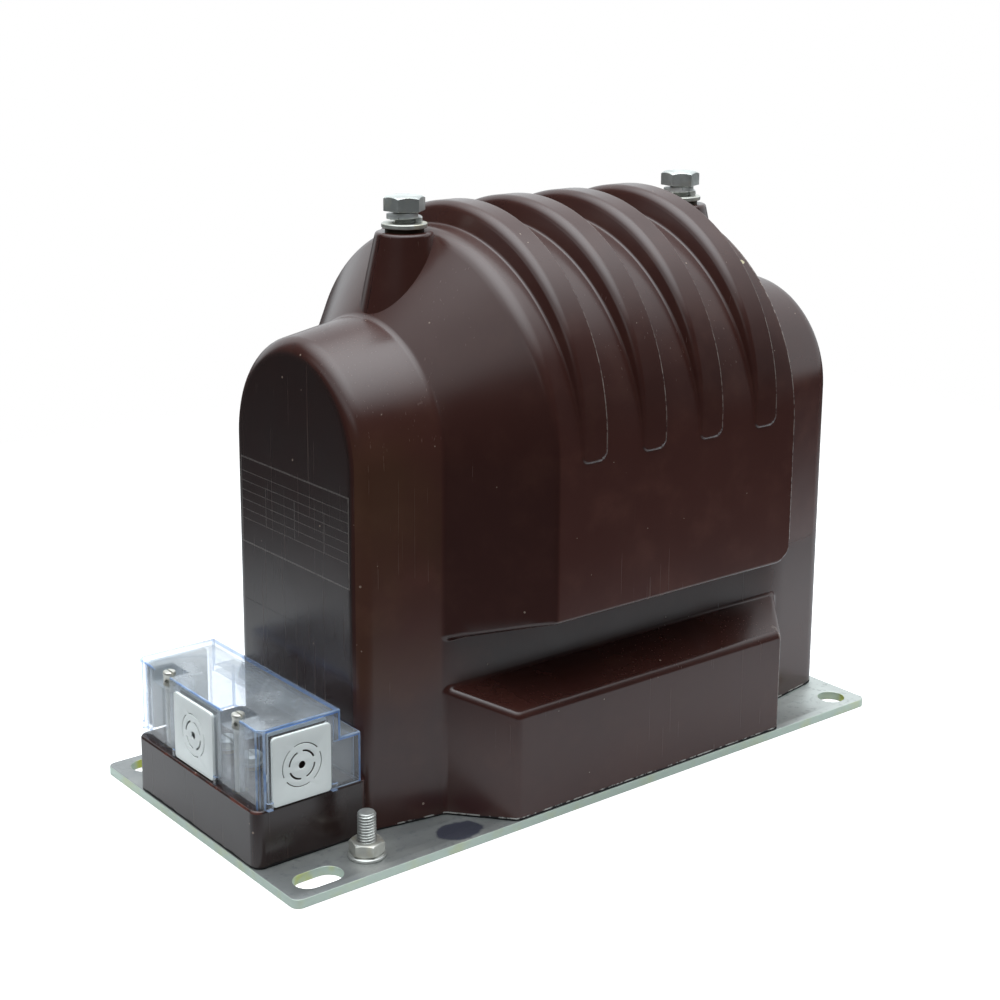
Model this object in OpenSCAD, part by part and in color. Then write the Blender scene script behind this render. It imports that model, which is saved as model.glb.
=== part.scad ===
// Cast resin voltage transformer, indoor block type with two line terminals.
// X runs along the winding axis, the low-voltage terminal box is at -X.
// The origin is the bottom centre of the steel base plate, Z is up.

/* [Base plate] */
// Length of the steel base plate along X
plate_l = 336; // [334:1:342]
// Width of the steel base plate along Y
plate_w = 160; // [158:1:166]
// Thickness of the steel base plate
plate_t = 4; // [3:0.5:4]
// Corner radius of the base plate
plate_r = 4; // [2:0.5:6]
// Distance of the slots from the plate centre along X
slot_x = 150; // [148:0.5:151]
// Half the spacing of the slots along Y
slot_y = 68.4; // [67:0.1:69]
// Length of a slot, end to end
slot_l = 22; // [18:0.5:22]
// Width of a slot
slot_w = 13; // [10:0.5:14]
// Distance of the round holes from the plate centre along X
hole_x = 155; // [152:0.5:157]
// Half the spacing of the round holes along Y
hole_y = 68.4; // [67:0.1:69]
// Diameter of the round holes
hole_d = 13; // [10:0.5:14]

/* [Resin body] */
// Centre of the winding along X
coil_x = 24.5; // [24:0.5:25]
// Height of the winding axis
axis_z = 159; // [158:0.5:160]
// Radius of the casing over the core
casing_r = 55; // [54.5:0.5:56]
// Radius of the casing at its two ends
casing_end_r = 49.3; // [48.5:0.1:50]
// Radius of the housing over the winding
housing_r = 91.5; // [90:0.5:94]
// Half the length of the full-radius housing
housing_half = 69.5; // [68:0.5:71]
// Height of each cooling rib at the top
rib_h = 9.5; // [6:0.5:9.5]
// Spacing of the cooling ribs
rib_pitch = 33.75; // [32:0.25:34]
// Width of a rib at its crest
rib_crest = 13; // [11:0.5:14]
// Top of the side feet at their outer edge
foot_h = 52.6; // [48:0.2:56]
// Half the width over the side feet
foot_y = 79.6; // [78:0.1:79.8]
// Height of the high-voltage bosses
boss_z = 248.8; // [247:0.2:249.6]
// Radius at the top of a boss
boss_r = 12.6; // [12:0.1:13.5]
// Top of the low-voltage terminal block
block_h = 29.3; // [29:0.1:30]
// Half the width of the low-voltage terminal block
block_y = 50; // [49.5:0.1:51]

/* [Terminals] */
// Distance of each high-voltage terminal from the winding centre
hv_half = 81.75; // [81:0.25:82.5]
// Top face of the high-voltage inserts
hv_top = 250.6; // [250:0.1:251.5]
// Width across the flats of the high-voltage bolt heads
hv_af = 16; // [16:0.5:17]
// Height of the free end of the earth stud above the floor
earth_top = 23.5; // [20:0.5:28]
// Height of the clear terminal cover above the block
cover_h = 34.3; // [33.6:0.1:36]
// Wall of the clear terminal cover
cover_wall = 2; // [1.6:0.1:2]

/* [Active part] */
// Thickness of each limb of the core
core_limb = 36; // [34:0.5:36]
// Half the stack width of the core
core_y = 25; // [24:0.5:25]
// Outer radius of the primary winding
primary_r = 76; // [74:0.5:77]

/* [Hidden] */
$fn = 96;

// core outline, in the XZ plane
core_x0 = coil_x - 128;
core_x1 = coil_x + 128;
core_z1 = axis_z + core_limb / 2;
core_z0 = core_z1 - 165;
band_t = 1;
band_y = 10;
former_r = 34;
sec1_r = 40;
sec2_r = 45;
barrier_r = 50;
shield_r = 51;
former_half = 66;
sec_half = 60;
barrier_half = 75;
lead_r = 1.25;
hv_lead_r = 1.5;

hv_bot = hv_top - 28.6;
hv_lead_z = axis_z + 60;
hv_washer_t = 2;
hv_spring_t = 2.6;
hv_spring_h = 5.2;
hv_head_h = 6.4;

lv_x = -145;
lv_y = [-31.5, -10.5, 10.5, 31.5];
lv_top = block_h + 2;
lv_bot = block_h - 12;
drop_x = -108.5;

cover_x0 = -165;
cover_x1 = -126;
cover_x2 = -116.2;
// the cover is a little longer than the block and sits off its middle
cover_y = block_y + 1.2;
cover_mid = 1.4;
cover_c = 2.6;
cover_ledge = block_h + 22;
cover_top = block_h + cover_h;
screw_x = -161;
screw_y = 28.8;
pocket_z = cover_top - 6.4;
panel_t = 1.2;
panel_end_w = 32;
panel_side_w = 28;
panel_h = 28.2;
panel_hole = 15.6;
panel_cx = cover_x0 + 19.4;

stud_x = -124;
stud_y = -65;
// an M8 thread is a plain cylinder of its mean radius where the nut holds it
thread_r = 3.6;
nut_z = plate_t + 1.6;
nut_h = 5.5;
base_screw_x = 54.5;
base_screw_y = 52;

function arc(cx, cy, r, a0, a1, n) =
    [for (i = [0:n]) let (a = a0 + (a1 - a0) * i / n) [cx + r * cos(a), cy + r * sin(a)]];

// a rectangle with rounded corners, centred
module round_rect(l, w, r) {
    square([l - 2 * r, w], center = true);
    square([l, w - 2 * r], center = true);
    for (sx = [-1, 1], sy = [-1, 1])
        translate([sx * (l / 2 - r), sy * (w / 2 - r)]) circle(r = r);
}

// puts a half or a whole turned profile of [x, radius] points on the winding axis
module on_axis(pts, a = 360, z = axis_z) {
    translate([0, 0, z]) rotate([0, 90, 0]) rotate([0, 0, 90])
        rotate_extrude(angle = a) polygon([for (p = pts) [p[1], p[0]]]);
}

// plan outline on both sides of the X axis from [x, half width] points
module plan(pts) {
    inner = [for (i = [len(pts) - 1:-1:0]) if (pts[i][1] > 0) [pts[i][0], -pts[i][1]]];
    polygon(concat([for (p = pts) if (p[1] > 0) p], inner));
}

// round arch on top of straight sides: the upper half is turned, the rest is extruded
module arch(pts, zb) {
    on_axis(pts, 180);
    translate([0, 0, zb]) linear_extrude(axis_z - zb) plan(pts);
}

// straight lengths of round wire with ball elbows
module wire(p, r) {
    for (i = [0:len(p) - 2]) {
        d = p[i + 1] - p[i];
        l = norm(d);
        translate(p[i]) rotate([0, acos(d[2] / l), atan2(d[1], d[0])])
            cylinder(h = l, r = r, $fn = 32);
        if (i > 0) translate(p[i]) sphere(r = r * 1.03, $fn = 32);
    }
}

// ---- resin body, outer form ----

casing_pts = concat(
    [[-116, 0]],
    arc(-109, casing_end_r - 7, 7, 180, 100, 5),
    [[coil_x - 100.5, casing_r], [coil_x + 100.5, casing_r]],
    arc(158, casing_end_r - 7, 7, 80, 0, 5),
    [[165, 0]]);

// the cone of each housing end is carried on inside the casing
cone_len = 32;
cone_k = (housing_r - 55) / cone_len;
housing_in = (housing_r - 50) / cone_k;
housing_pts = [
    [coil_x - housing_half - housing_in, 0],
    [coil_x - housing_half - housing_in, 50],
    [coil_x - housing_half, housing_r],
    [coil_x + housing_half, housing_r],
    [coil_x + housing_half + housing_in, 50],
    [coil_x + housing_half + housing_in, 0]];

module housing() {
    on_axis(housing_pts, 180);
    intersection() {
        translate([0, 0, 60]) linear_extrude(axis_z - 60) plan(housing_pts);
        translate([-150, 0, 0]) rotate([90, 0, 90]) linear_extrude(350)
            polygon([[-100, 96.56], [0, 67.2], [100, 96.56], [100, 200], [-100, 200]]);
    }
}

module side_feet() {
    k = (foot_y - 55) / 20.8;
    ext = (foot_y - 50) / k;
    x0 = coil_x - 80.2;
    x1 = coil_x + 79.4;
    intersection() {
        translate([0, 0, plate_t]) linear_extrude(90)
            polygon([[x0, -foot_y], [x1, -foot_y], [x1 + ext, -50], [x1 + ext, 50],
                     [x1, foot_y], [x0, foot_y], [x0 - ext, 50], [x0 - ext, -50]]);
        translate([-150, 0, 0]) rotate([90, 0, 90]) linear_extrude(350)
            polygon([[-foot_y - 1, 0], [-foot_y - 1, foot_h - 1.8], [-foot_y, foot_h - 1.8],
                     [-foot_y + 1.6, foot_h], [-55, foot_h + 9.3], [0, foot_h + 9.3],
                     [55, foot_h + 9.3], [foot_y - 1.6, foot_h], [foot_y, foot_h - 1.8],
                     [foot_y + 1, foot_h - 1.8], [foot_y + 1, 0]]);
    }
}

module ribs() {
    for (i = [-1.5:1:1.5]) {
        x = coil_x + i * rib_pitch;
        on_axis([[x - rib_crest / 2 - 3.2, 80], [x - rib_crest / 2 - 3.2, 82],
                 [x - rib_crest / 2 - 0.8, housing_r - 1], [x - rib_crest / 2, housing_r],
                 [x + rib_crest / 2, housing_r], [x + rib_crest / 2 + 0.8, housing_r - 1],
                 [x + rib_crest / 2 + 3.2, 82], [x + rib_crest / 2 + 3.2, 80]],
                180, axis_z + rib_h);
    }
}

module bosses() {
    for (s = [-1, 1])
        translate([coil_x + s * hv_half, 0, 205])
            cylinder(h = boss_z - 205, r1 = boss_r + (boss_z - 205) * 0.2225, r2 = boss_r);
}

module block() {
    translate([-140, 0, plate_t]) linear_extrude(block_h - 1 - plate_t)
        round_rect(55, 2 * block_y, 4.5);
    translate([-140, 0, block_h - 1]) linear_extrude(1)
        round_rect(53.4, 2 * block_y - 1.6, 3.7);
}

// ---- active part ----

module core_outline(grow = 0) {
    translate([(core_x0 + core_x1) / 2, (core_z0 + core_z1) / 2])
        round_rect(256 + 2 * grow, 165 + 2 * grow, 6 + grow);
}

module core_ring(x0, x1) {
    translate([0, core_y, 0]) rotate([90, 0, 0]) linear_extrude(2 * core_y)
        difference() {
            intersection() {
                core_outline();
                translate([x0, 0]) square([x1 - x0, 300]);
            }
            translate([core_x0 + core_limb, core_z0 + core_limb])
                square([256 - 2 * core_limb, 165 - 2 * core_limb]);
        }
}

module core_half_front() {
    color([0.36, 0.38, 0.42]) core_ring(core_x0 - 1, coil_x);
}

module core_half_rear() {
    color([0.40, 0.42, 0.46]) core_ring(coil_x, core_x1 + 1);
}

module core_band() {
    color([0.55, 0.57, 0.60])
        translate([0, band_y, 0]) rotate([90, 0, 0]) linear_extrude(2 * band_y)
            difference() {
                core_outline(band_t);
                core_outline();
            }
}

module core_earth_strap() {
    color([0.80, 0.48, 0.30])
        translate([59.5, -24, plate_t]) cube([1, 9, core_z0 - plate_t]);
}

module coil_former() {
    color([0.72, 0.58, 0.38]) difference() {
        on_axis([[coil_x - former_half, 0], [coil_x - former_half, former_r],
                 [coil_x + former_half, former_r], [coil_x + former_half, 0]]);
        translate([coil_x - 100, -core_y, core_z1 - core_limb])
            cube([200, 2 * core_y, core_limb]);
        translate([coil_x - 100, -band_y, core_z1 - 1])
            cube([200, 2 * band_y, band_t + 1]);
    }
}

module tube(half, r0, r1) {
    on_axis([[coil_x - half, r0], [coil_x - half, r1], [coil_x + half, r1], [coil_x + half, r0]]);
}

module secondary_winding_inner() {
    color([0.74, 0.40, 0.22]) tube(sec_half, former_r, sec1_r);
}

module secondary_winding_outer() {
    color([0.80, 0.46, 0.26]) tube(sec_half, sec1_r, sec2_r);
}

module barrier_tube() {
    color([0.82, 0.72, 0.52]) tube(barrier_half, sec2_r, barrier_r);
}

module winding_shield() {
    color([0.86, 0.56, 0.38]) tube(former_half, barrier_r, shield_r);
}

// the primary steps in at both ends, layer by layer
primary_steps = [[62, shield_r], [62, 56], [60, 56], [60, 64], [52, 64], [52, 70], [42, 70], [42, primary_r]];

module primary_winding() {
    n = len(primary_steps);
    color([0.66, 0.30, 0.14])
        on_axis(concat([for (p = primary_steps) [coil_x - p[0], p[1]]],
                       [for (i = [n - 1:-1:0]) [coil_x + primary_steps[i][0], primary_steps[i][1]]]));
}

// all of the coil and what it encloses, as one solid
module coil_space() {
    half = concat([[former_half, 0], [former_half, former_r], [sec_half, former_r], [sec_half, sec2_r],
                   [barrier_half, sec2_r], [barrier_half, barrier_r], [former_half, barrier_r],
                   [former_half, shield_r]], primary_steps);
    n = len(half);
    on_axis(concat([for (p = half) [coil_x - p[0], p[1]]],
                   [for (i = [n - 1:-1:0]) [coil_x + half[i][0], half[i][1]]]));
}

module hv_leads() {
    color([0.80, 0.48, 0.30])
        for (s = [-1, 1]) {
            x = coil_x + s * hv_half;
            wire([[x, 0, hv_bot], [x, 0, hv_lead_z], [coil_x + s * 60, 0, hv_lead_z]], hv_lead_r);
        }
}

module lv_leads_inner() {
    color([0.80, 0.50, 0.30])
        for (s = [-1, 1])
            wire([[coil_x - sec_half, s * 37, axis_z], [drop_x, s * 37, axis_z],
                  [drop_x, s * 37, 13.5], [lv_x, s * 31.5, 13.5], [lv_x, s * 31.5, lv_bot]], lead_r);
}

module lv_leads_outer() {
    color([0.84, 0.56, 0.34])
        for (s = [-1, 1])
            wire([[coil_x - sec_half, s * 42.5, axis_z], [drop_x, s * 42.5, axis_z],
                  [drop_x, s * 42.5, 8], [lv_x, s * 10.5, 8], [lv_x, s * 10.5, lv_bot]], lead_r);
}

// ---- inserts and fasteners ----

module hv_insert(solid = false) {
    difference() {
        rotate_extrude() polygon([[0, hv_bot], [8.5, hv_bot], [8.5, hv_bot + 8], [7.2, hv_bot + 9.3],
                                  [7.2, hv_bot + 12], [8.5, hv_bot + 13.3], [8.5, hv_top], [0, hv_top]]);
        if (!solid) translate([0, 0, hv_bot + 6]) cylinder(h = 40, r = 5);
    }
}

module hv_terminal_inserts() {
    color([0.78, 0.62, 0.30]) for (s = [-1, 1])
        translate([coil_x + s * hv_half, 0, 0]) hv_insert();
}

module washer(r_out, r_in, t) {
    difference() {
        cylinder(h = t, r = r_out);
        translate([0, 0, -1]) cylinder(h = t + 2, r = r_in);
    }
}

module hv_flat_washers() {
    color([0.80, 0.81, 0.80]) for (s = [-1, 1])
        translate([coil_x + s * hv_half, 0, hv_top]) washer(10, 5.25, hv_washer_t);
}

// split ring that climbs by its own thickness in one turn
module split_ring(r_in, r_out, t, rise, a0) {
    n = 34;
    turn = 342;
    pts = [for (i = [0:n]) let (a = a0 + turn * i / n, z = rise * i / n)
           each [[r_in * cos(a), r_in * sin(a), z], [r_out * cos(a), r_out * sin(a), z],
                 [r_out * cos(a), r_out * sin(a), z + t], [r_in * cos(a), r_in * sin(a), z + t]]];
    sides = [for (i = [0:n - 1], j = [0:3]) let (k = (j + 1) % 4)
             each [[4 * i + j, 4 * i + 4 + j, 4 * i + k], [4 * i + k, 4 * i + 4 + j, 4 * i + 4 + k]]];
    polyhedron(points = pts, faces = concat([[0, 1, 2], [0, 2, 3]], sides,
               [[4 * n, 4 * n + 2, 4 * n + 1], [4 * n, 4 * n + 3, 4 * n + 2]]));
}

module hv_spring_washers() {
    color([0.72, 0.73, 0.72]) for (s = [-1, 1])
        translate([coil_x + s * hv_half, 0, hv_top + hv_washer_t])
            split_ring(5.15, 7.75, hv_spring_t, hv_spring_h - hv_spring_t, -58);
}

// hexagon with its corners turned off at the top, the flats of width af
module hex_head(af, h, both = false) {
    rc = af / sqrt(3);
    intersection() {
        cylinder(h = h, r = rc, $fn = 6);
        rotate_extrude() polygon([[0, 0], [both ? af / 2 * 0.96 : rc + 1, 0],
                                  [rc + 0.01, both ? (rc - af / 2 * 0.96) * 0.5 : 0.001],
                                  [rc + 0.01, h - (rc - af / 2 * 0.96) * 0.5],
                                  [af / 2 * 0.96, h], [0, h]]);
    }
}

module hv_terminal_bolts() {
    z = hv_top + hv_washer_t + hv_spring_h;
    color([0.82, 0.83, 0.82]) for (s = [-1, 1])
        translate([coil_x + s * hv_half, 0, 0]) {
            translate([0, 0, z]) rotate([0, 0, s < 0 ? -23 : -38]) hex_head(hv_af, hv_head_h);
            translate([0, 0, z - 25]) cylinder(h = 25.5, r = 5);
        }
}

module lv_insert(solid = false) {
    difference() {
        rotate_extrude() polygon([[0, lv_bot], [4.5, lv_bot], [4.5, lv_bot + 4], [3.9, lv_bot + 4.6],
                                  [3.9, lv_bot + 7], [4.5, lv_bot + 7.6], [4.5, lv_top], [0, lv_top]]);
        if (!solid) translate([0, 0, lv_bot + 2]) cylinder(h = 20, r = 2.5);
    }
}

module lv_terminal_inserts() {
    color([0.78, 0.62, 0.30]) for (y = lv_y) translate([lv_x, y, 0]) lv_insert();
}

module lv_terminal_washers() {
    color([0.80, 0.81, 0.80]) for (y = lv_y) translate([lv_x, y, lv_top]) washer(5.5, 2.75, 1);
}

module lv_terminal_screws() {
    color([0.82, 0.83, 0.82]) for (y = lv_y) translate([lv_x, y, 0]) difference() {
        union() {
            translate([0, 0, lv_top + 1]) cylinder(h = 2.4, r = 4.6);
            translate([0, 0, lv_top + 3.4]) cylinder(h = 1, r1 = 4.6, r2 = 3.6);
            translate([0, 0, lv_bot + 4]) cylinder(h = lv_top - lv_bot - 2, r = 2.5);
        }
        translate([-0.6, -6, lv_top + 2.8]) cube([1.2, 12, 4]);
    }
}

module cover_insert(solid = false) {
    difference() {
        translate([0, 0, block_h - 11]) cylinder(h = 11, r = 3.5);
        if (!solid) translate([0, 0, block_h - 10]) cylinder(h = 12, r = 2);
    }
}

module cover_screw_inserts() {
    color([0.78, 0.62, 0.30]) for (s = [-1, 1])
        translate([screw_x, cover_mid + s * screw_y, 0]) cover_insert();
}

module cover_screws() {
    color([0.80, 0.80, 0.78]) for (s = [-1, 1]) translate([screw_x, cover_mid + s * screw_y, 0]) difference() {
        union() {
            translate([0, 0, pocket_z]) cylinder(h = 5.8, r = 2.8);
            translate([0, 0, pocket_z + 5.8]) cylinder(h = 0.4, r1 = 2.8, r2 = 2.4);
            translate([0, 0, block_h - 8]) cylinder(h = pocket_z - block_h + 8.5, r = 2);
        }
        translate([-0.4, -4, pocket_z + 5]) cube([0.8, 8, 3]);
        // hole for a sealing wire
        translate([0, 0, pocket_z + 2.2]) rotate([90, 0, 122]) cylinder(h = 8, r = 0.9, center = true, $fn = 24);
    }
}

module base_insert(solid = false) {
    difference() {
        rotate_extrude() polygon([[0, plate_t], [7, plate_t], [7, plate_t + 8], [6, plate_t + 9],
                                  [6, plate_t + 12], [7, plate_t + 13], [7, plate_t + 20], [0, plate_t + 20]]);
        if (!solid) translate([0, 0, plate_t - 1]) cylinder(h = 17, r = 4);
    }
}

module at_base_screws() {
    for (sx = [-1, 1], sy = [-1, 1])
        translate([coil_x + sx * base_screw_x, sy * base_screw_y, 0]) children();
}

module base_screw_inserts() {
    color([0.70, 0.71, 0.70]) at_base_screws() base_insert();
}

// countersunk head flush with the underside of the plate
module flush_screw(top) {
    cylinder(h = plate_t, r1 = 4 + plate_t, r2 = 4);
    cylinder(h = top, r = 4);
}

module base_screws() {
    color([0.76, 0.78, 0.74]) at_base_screws() difference() {
        flush_screw(plate_t + 14);
        translate([0, 0, -1]) cylinder(h = 3.4, r = 5 / sqrt(3), $fn = 6);
    }
}

module earth_stud() {
    free_z = nut_z + nut_h + 0.6;
    color([0.80, 0.80, 0.78]) translate([stud_x, stud_y, 0]) {
        cylinder(h = plate_t, r1 = 4 + plate_t, r2 = 4);
        cylinder(h = earth_top - 1, r = thread_r);
        translate([0, 0, free_z]) cylinder(h = earth_top - 0.8 - free_z, r = 4);
        translate([0, 0, earth_top - 0.8]) cylinder(h = 0.8, r1 = 4, r2 = 3.2);
    }
}

module earth_washer() {
    color([0.80, 0.81, 0.80]) translate([stud_x, stud_y, plate_t]) washer(8, 4.2, 1.6);
}

module earth_nut() {
    color([0.82, 0.83, 0.82]) translate([stud_x, stud_y, nut_z]) difference() {
        rotate([0, 0, 17]) hex_head(13, nut_h, true);
        translate([0, 0, -1]) cylinder(h = 8, r = thread_r);
    }
}

// ---- base plate ----

module base_plate() {
    color([0.72, 0.76, 0.70]) difference() {
        linear_extrude(plate_t) difference() {
            round_rect(plate_l, plate_w, plate_r);
            for (s = [-1, 1]) {
                translate([-slot_x, s * slot_y]) {
                    square([slot_l - slot_w, slot_w], center = true);
                    for (k = [-1, 1]) translate([k * (slot_l - slot_w) / 2, 0]) circle(d = slot_w);
                }
                translate([hole_x, s * hole_y]) circle(d = hole_d);
            }
        }
        at_base_screws() cylinder(h = plate_t, r1 = 4 + plate_t, r2 = 4);
        translate([stud_x, stud_y, 0]) cylinder(h = plate_t, r1 = 4 + plate_t, r2 = 4);
    }
}

// ---- resin body ----

module resin_body() {
    color([0.24, 0.14, 0.13]) difference() {
        union() {
            arch(casing_pts, plate_t);
            housing();
            side_feet();
            ribs();
            bosses();
            block();
        }
        coil_space();
        core_ring(core_x0 - 1, core_x1 + 1);
        translate([0, band_y, 0]) rotate([90, 0, 0]) linear_extrude(2 * band_y)
            core_outline_ring();
        translate([59.5, -24, plate_t - 1]) cube([1, 9, core_z0 - plate_t + 1.5]);
        hv_leads();
        lv_leads_inner();
        lv_leads_outer();
        for (s = [-1, 1]) {
            translate([coil_x + s * hv_half, 0, 0]) hv_insert(true);
            translate([screw_x, cover_mid + s * screw_y, 0]) cover_insert(true);
        }
        for (y = lv_y) translate([lv_x, y, 0]) lv_insert(true);
        at_base_screws() base_insert(true);
    }
}

module core_outline_ring() {
    difference() {
        core_outline(band_t);
        translate([0, 0]) core_outline(-1);
    }
}

// ---- clear terminal cover and its cable entry panels ----

module cover_box(in, z0) {
    c = cover_c - 0.586 * in;
    for (e = [[cover_x1, cover_top], [cover_x2, cover_ledge]])
        translate([0, cover_mid, z0]) linear_extrude(e[1] - in - z0)
            polygon([[cover_x0 + in, in + c - cover_y], [cover_x0 + in + c, in - cover_y],
                     [e[0] - in, in - cover_y], [e[0] - in, cover_y - in],
                     [cover_x0 + in + c, cover_y - in], [cover_x0 + in, cover_y - in - c]]);
}

module terminal_cover() {
    color([0.82, 0.88, 0.94, 0.35]) difference() {
        union() {
            difference() {
                cover_box(0, block_h);
                cover_box(cover_wall, block_h - 1);
            }
            for (s = [-1, 1]) translate([screw_x, cover_mid + s * screw_y, 0]) {
                translate([0, 0, block_h]) cylinder(h = pocket_z - block_h - 1, r = 3.9);
                translate([cover_x0 - screw_x + 0.5, -9.3, pocket_z - 2])
                    cube([10.8, 18.6, cover_top - pocket_z + 1]);
            }
        }
        for (s = [-1, 1]) translate([screw_x, cover_mid + s * screw_y, 0]) {
            translate([-10, -7.5, pocket_z]) cube([15.5, 15, 20]);
            translate([0, 0, block_h - 1]) cylinder(h = 60, r = 2.2);
        }
        // openings for the panels, closed again by the panels' webs
        translate([cover_x0 - 1, cover_mid - panel_end_w / 2 + 2, block_h - 1])
            cube([cover_wall + 2, panel_end_w - 4, panel_h + 1]);
        for (s = [-1, 1])
            translate([panel_cx - panel_side_w / 2 + 2, cover_mid + s * (cover_y - cover_wall / 2) - cover_wall / 2 - 1, block_h - 1])
                cube([panel_side_w - 4, cover_wall + 2, panel_h + 1]);
    }
}

// H-section panel: two plates with a web between them, the web fills the opening
module entry_panel(w) {
    difference() {
        union() {
            translate([-w / 2, -panel_t, 0.5]) cube([w, panel_t, 29.8]);
            translate([2 - w / 2, 0, 0.5]) cube([w - 4, cover_wall, panel_h - 0.5]);
            translate([-w / 2, cover_wall, 0.5]) cube([w, panel_t, 31.4]);
        }
        translate([0, -10, panel_hole]) rotate([-90, 0, 0]) cylinder(h = 20, r = 1.6, $fn = 32);
        // thinned rings that break out to the size of the cable
        for (r = [[5.8, 6.3], [9.0, 9.5]])
            translate([0, -panel_t - 1, panel_hole]) rotate([-90, 0, 0]) difference() {
                cylinder(h = 1.5, r = r[1], $fn = 64);
                translate([0, 0, -1]) cylinder(h = 4, r = r[0], $fn = 64);
            }
    }
}

module entry_panel_end() {
    color([0.90, 0.92, 0.90]) translate([cover_x0, cover_mid, block_h]) rotate([0, 0, -90]) entry_panel(panel_end_w);
}

module entry_panel_front() {
    color([0.90, 0.92, 0.90]) translate([panel_cx, cover_mid - cover_y, block_h]) entry_panel(panel_side_w);
}

module entry_panel_back() {
    color([0.90, 0.92, 0.90]) translate([panel_cx, cover_mid + cover_y, block_h]) rotate([0, 0, 180]) entry_panel(panel_side_w);
}

base_plate();
resin_body();
core_half_front();
core_half_rear();
core_band();
core_earth_strap();
coil_former();
secondary_winding_inner();
secondary_winding_outer();
barrier_tube();
winding_shield();
primary_winding();
hv_leads();
hv_terminal_inserts();
hv_flat_washers();
hv_spring_washers();
hv_terminal_bolts();
lv_leads_inner();
lv_leads_outer();
lv_terminal_inserts();
lv_terminal_washers();
lv_terminal_screws();
terminal_cover();
entry_panel_end();
entry_panel_front();
entry_panel_back();
cover_screw_inserts();
cover_screws();
base_screw_inserts();
base_screws();
earth_stud();
earth_washer();
earth_nut();
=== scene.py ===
import math
import bpy
import bmesh
import numpy as np
from mathutils import Matrix, Vector


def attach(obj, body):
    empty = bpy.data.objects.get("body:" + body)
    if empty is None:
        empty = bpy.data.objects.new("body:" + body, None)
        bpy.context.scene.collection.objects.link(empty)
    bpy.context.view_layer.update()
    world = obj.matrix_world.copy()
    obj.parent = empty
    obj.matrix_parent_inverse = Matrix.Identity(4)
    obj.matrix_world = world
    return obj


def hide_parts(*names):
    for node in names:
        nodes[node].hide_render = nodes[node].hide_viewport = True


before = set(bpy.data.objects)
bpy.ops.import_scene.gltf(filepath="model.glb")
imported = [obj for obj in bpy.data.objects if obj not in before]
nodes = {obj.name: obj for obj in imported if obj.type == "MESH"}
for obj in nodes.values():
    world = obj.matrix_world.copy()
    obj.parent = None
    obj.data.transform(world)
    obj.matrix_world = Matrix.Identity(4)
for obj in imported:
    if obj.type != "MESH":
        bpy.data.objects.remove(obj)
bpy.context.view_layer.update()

scene = bpy.context.scene
MM = 0.001
rng = np.random.default_rng(7)


# ---------------------------------------------------------------- helpers

def ride(o, replaces=()):
    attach(o, "root")
    if replaces:
        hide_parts(*replaces)
    return o


def new_object(name, mesh):
    o = bpy.data.objects.new(name, mesh)
    scene.collection.objects.link(o)
    return o


def mesh_object(name, verts, faces, smooth=True):
    me = bpy.data.meshes.new(name)
    me.from_pydata([tuple(v) for v in np.asarray(verts, float) * MM], [], [tuple(int(i) for i in f) for f in faces])
    me.validate()
    me.update()
    if smooth:
        me.shade_smooth()
    return new_object(name, me)


def bm_object(name, bm, smooth=False):
    me = bpy.data.meshes.new(name)
    bm.to_mesh(me)
    bm.free()
    if smooth:
        me.shade_smooth()
    return new_object(name, me)


def apply_modifiers(o):
    dg = bpy.context.evaluated_depsgraph_get()
    ev = o.evaluated_get(dg)
    me = bpy.data.meshes.new_from_object(ev, preserve_all_data_layers=True, depsgraph=dg)
    old = o.data
    o.modifiers.clear()
    o.data = me
    if isinstance(old, bpy.types.Mesh):
        bpy.data.meshes.remove(old)
    return o


def drop(*objs):
    for o in objs:
        me = o.data
        bpy.data.objects.remove(o)
        if isinstance(me, bpy.types.Mesh) and me.users == 0:
            bpy.data.meshes.remove(me)
        elif isinstance(me, bpy.types.Curve) and me.users == 0:
            bpy.data.curves.remove(me)


def boolean(o, others, op="DIFFERENCE"):
    for c in others:
        m = o.modifiers.new("b", "BOOLEAN")
        m.object = c
        m.operation = op
        m.solver = "EXACT"
    apply_modifiers(o)
    drop(*others)
    return o


def smooth_by_angle(o, angle=35.0):
    me = o.data
    me.shade_smooth()
    bm = bmesh.new()
    bm.from_mesh(me)
    for e in bm.edges:
        e.smooth = not (len(e.link_faces) == 2 and e.calc_face_angle(0.0) > math.radians(angle))
    bm.to_mesh(me)
    bm.free()
    return o


def join(name, objs):
    bm = bmesh.new()
    for o in objs:
        start = len(bm.verts)
        bm.from_mesh(o.data)
        bm.verts.ensure_lookup_table()
        for v in bm.verts[start:]:
            v.co = o.matrix_world @ v.co
    drop(*objs)
    return bm_object(name, bm)


def lathe(name, prof, n=64, at=(0, 0, 0), rot=0.0, sx=1.0):
    """Turned solid from [radius, z] points, from the axis to the axis."""
    verts, faces = [], []
    a = np.radians(rot) + np.arange(n) * 2 * np.pi / n
    rows = []
    for r, z in prof:
        if r < 1e-6:
            rows.append([len(verts)])
            verts.append((at[0], at[1], at[2] + z))
        else:
            rows.append(list(range(len(verts), len(verts) + n)))
            verts += [(at[0] + r * c * sx, at[1] + r * s, at[2] + z) for c, s in zip(np.cos(a), np.sin(a))]
    for p, q in zip(rows[:-1], rows[1:]):
        for i in range(n):
            j = (i + 1) % n
            if len(p) == 1 and len(q) == 1:
                continue
            if len(p) == 1:
                faces.append((p[0], q[j], q[i]))
            elif len(q) == 1:
                faces.append((p[i], p[j], q[0]))
            else:
                faces.append((p[i], p[j], q[j], q[i]))
    return mesh_object(name, verts, faces)


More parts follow.
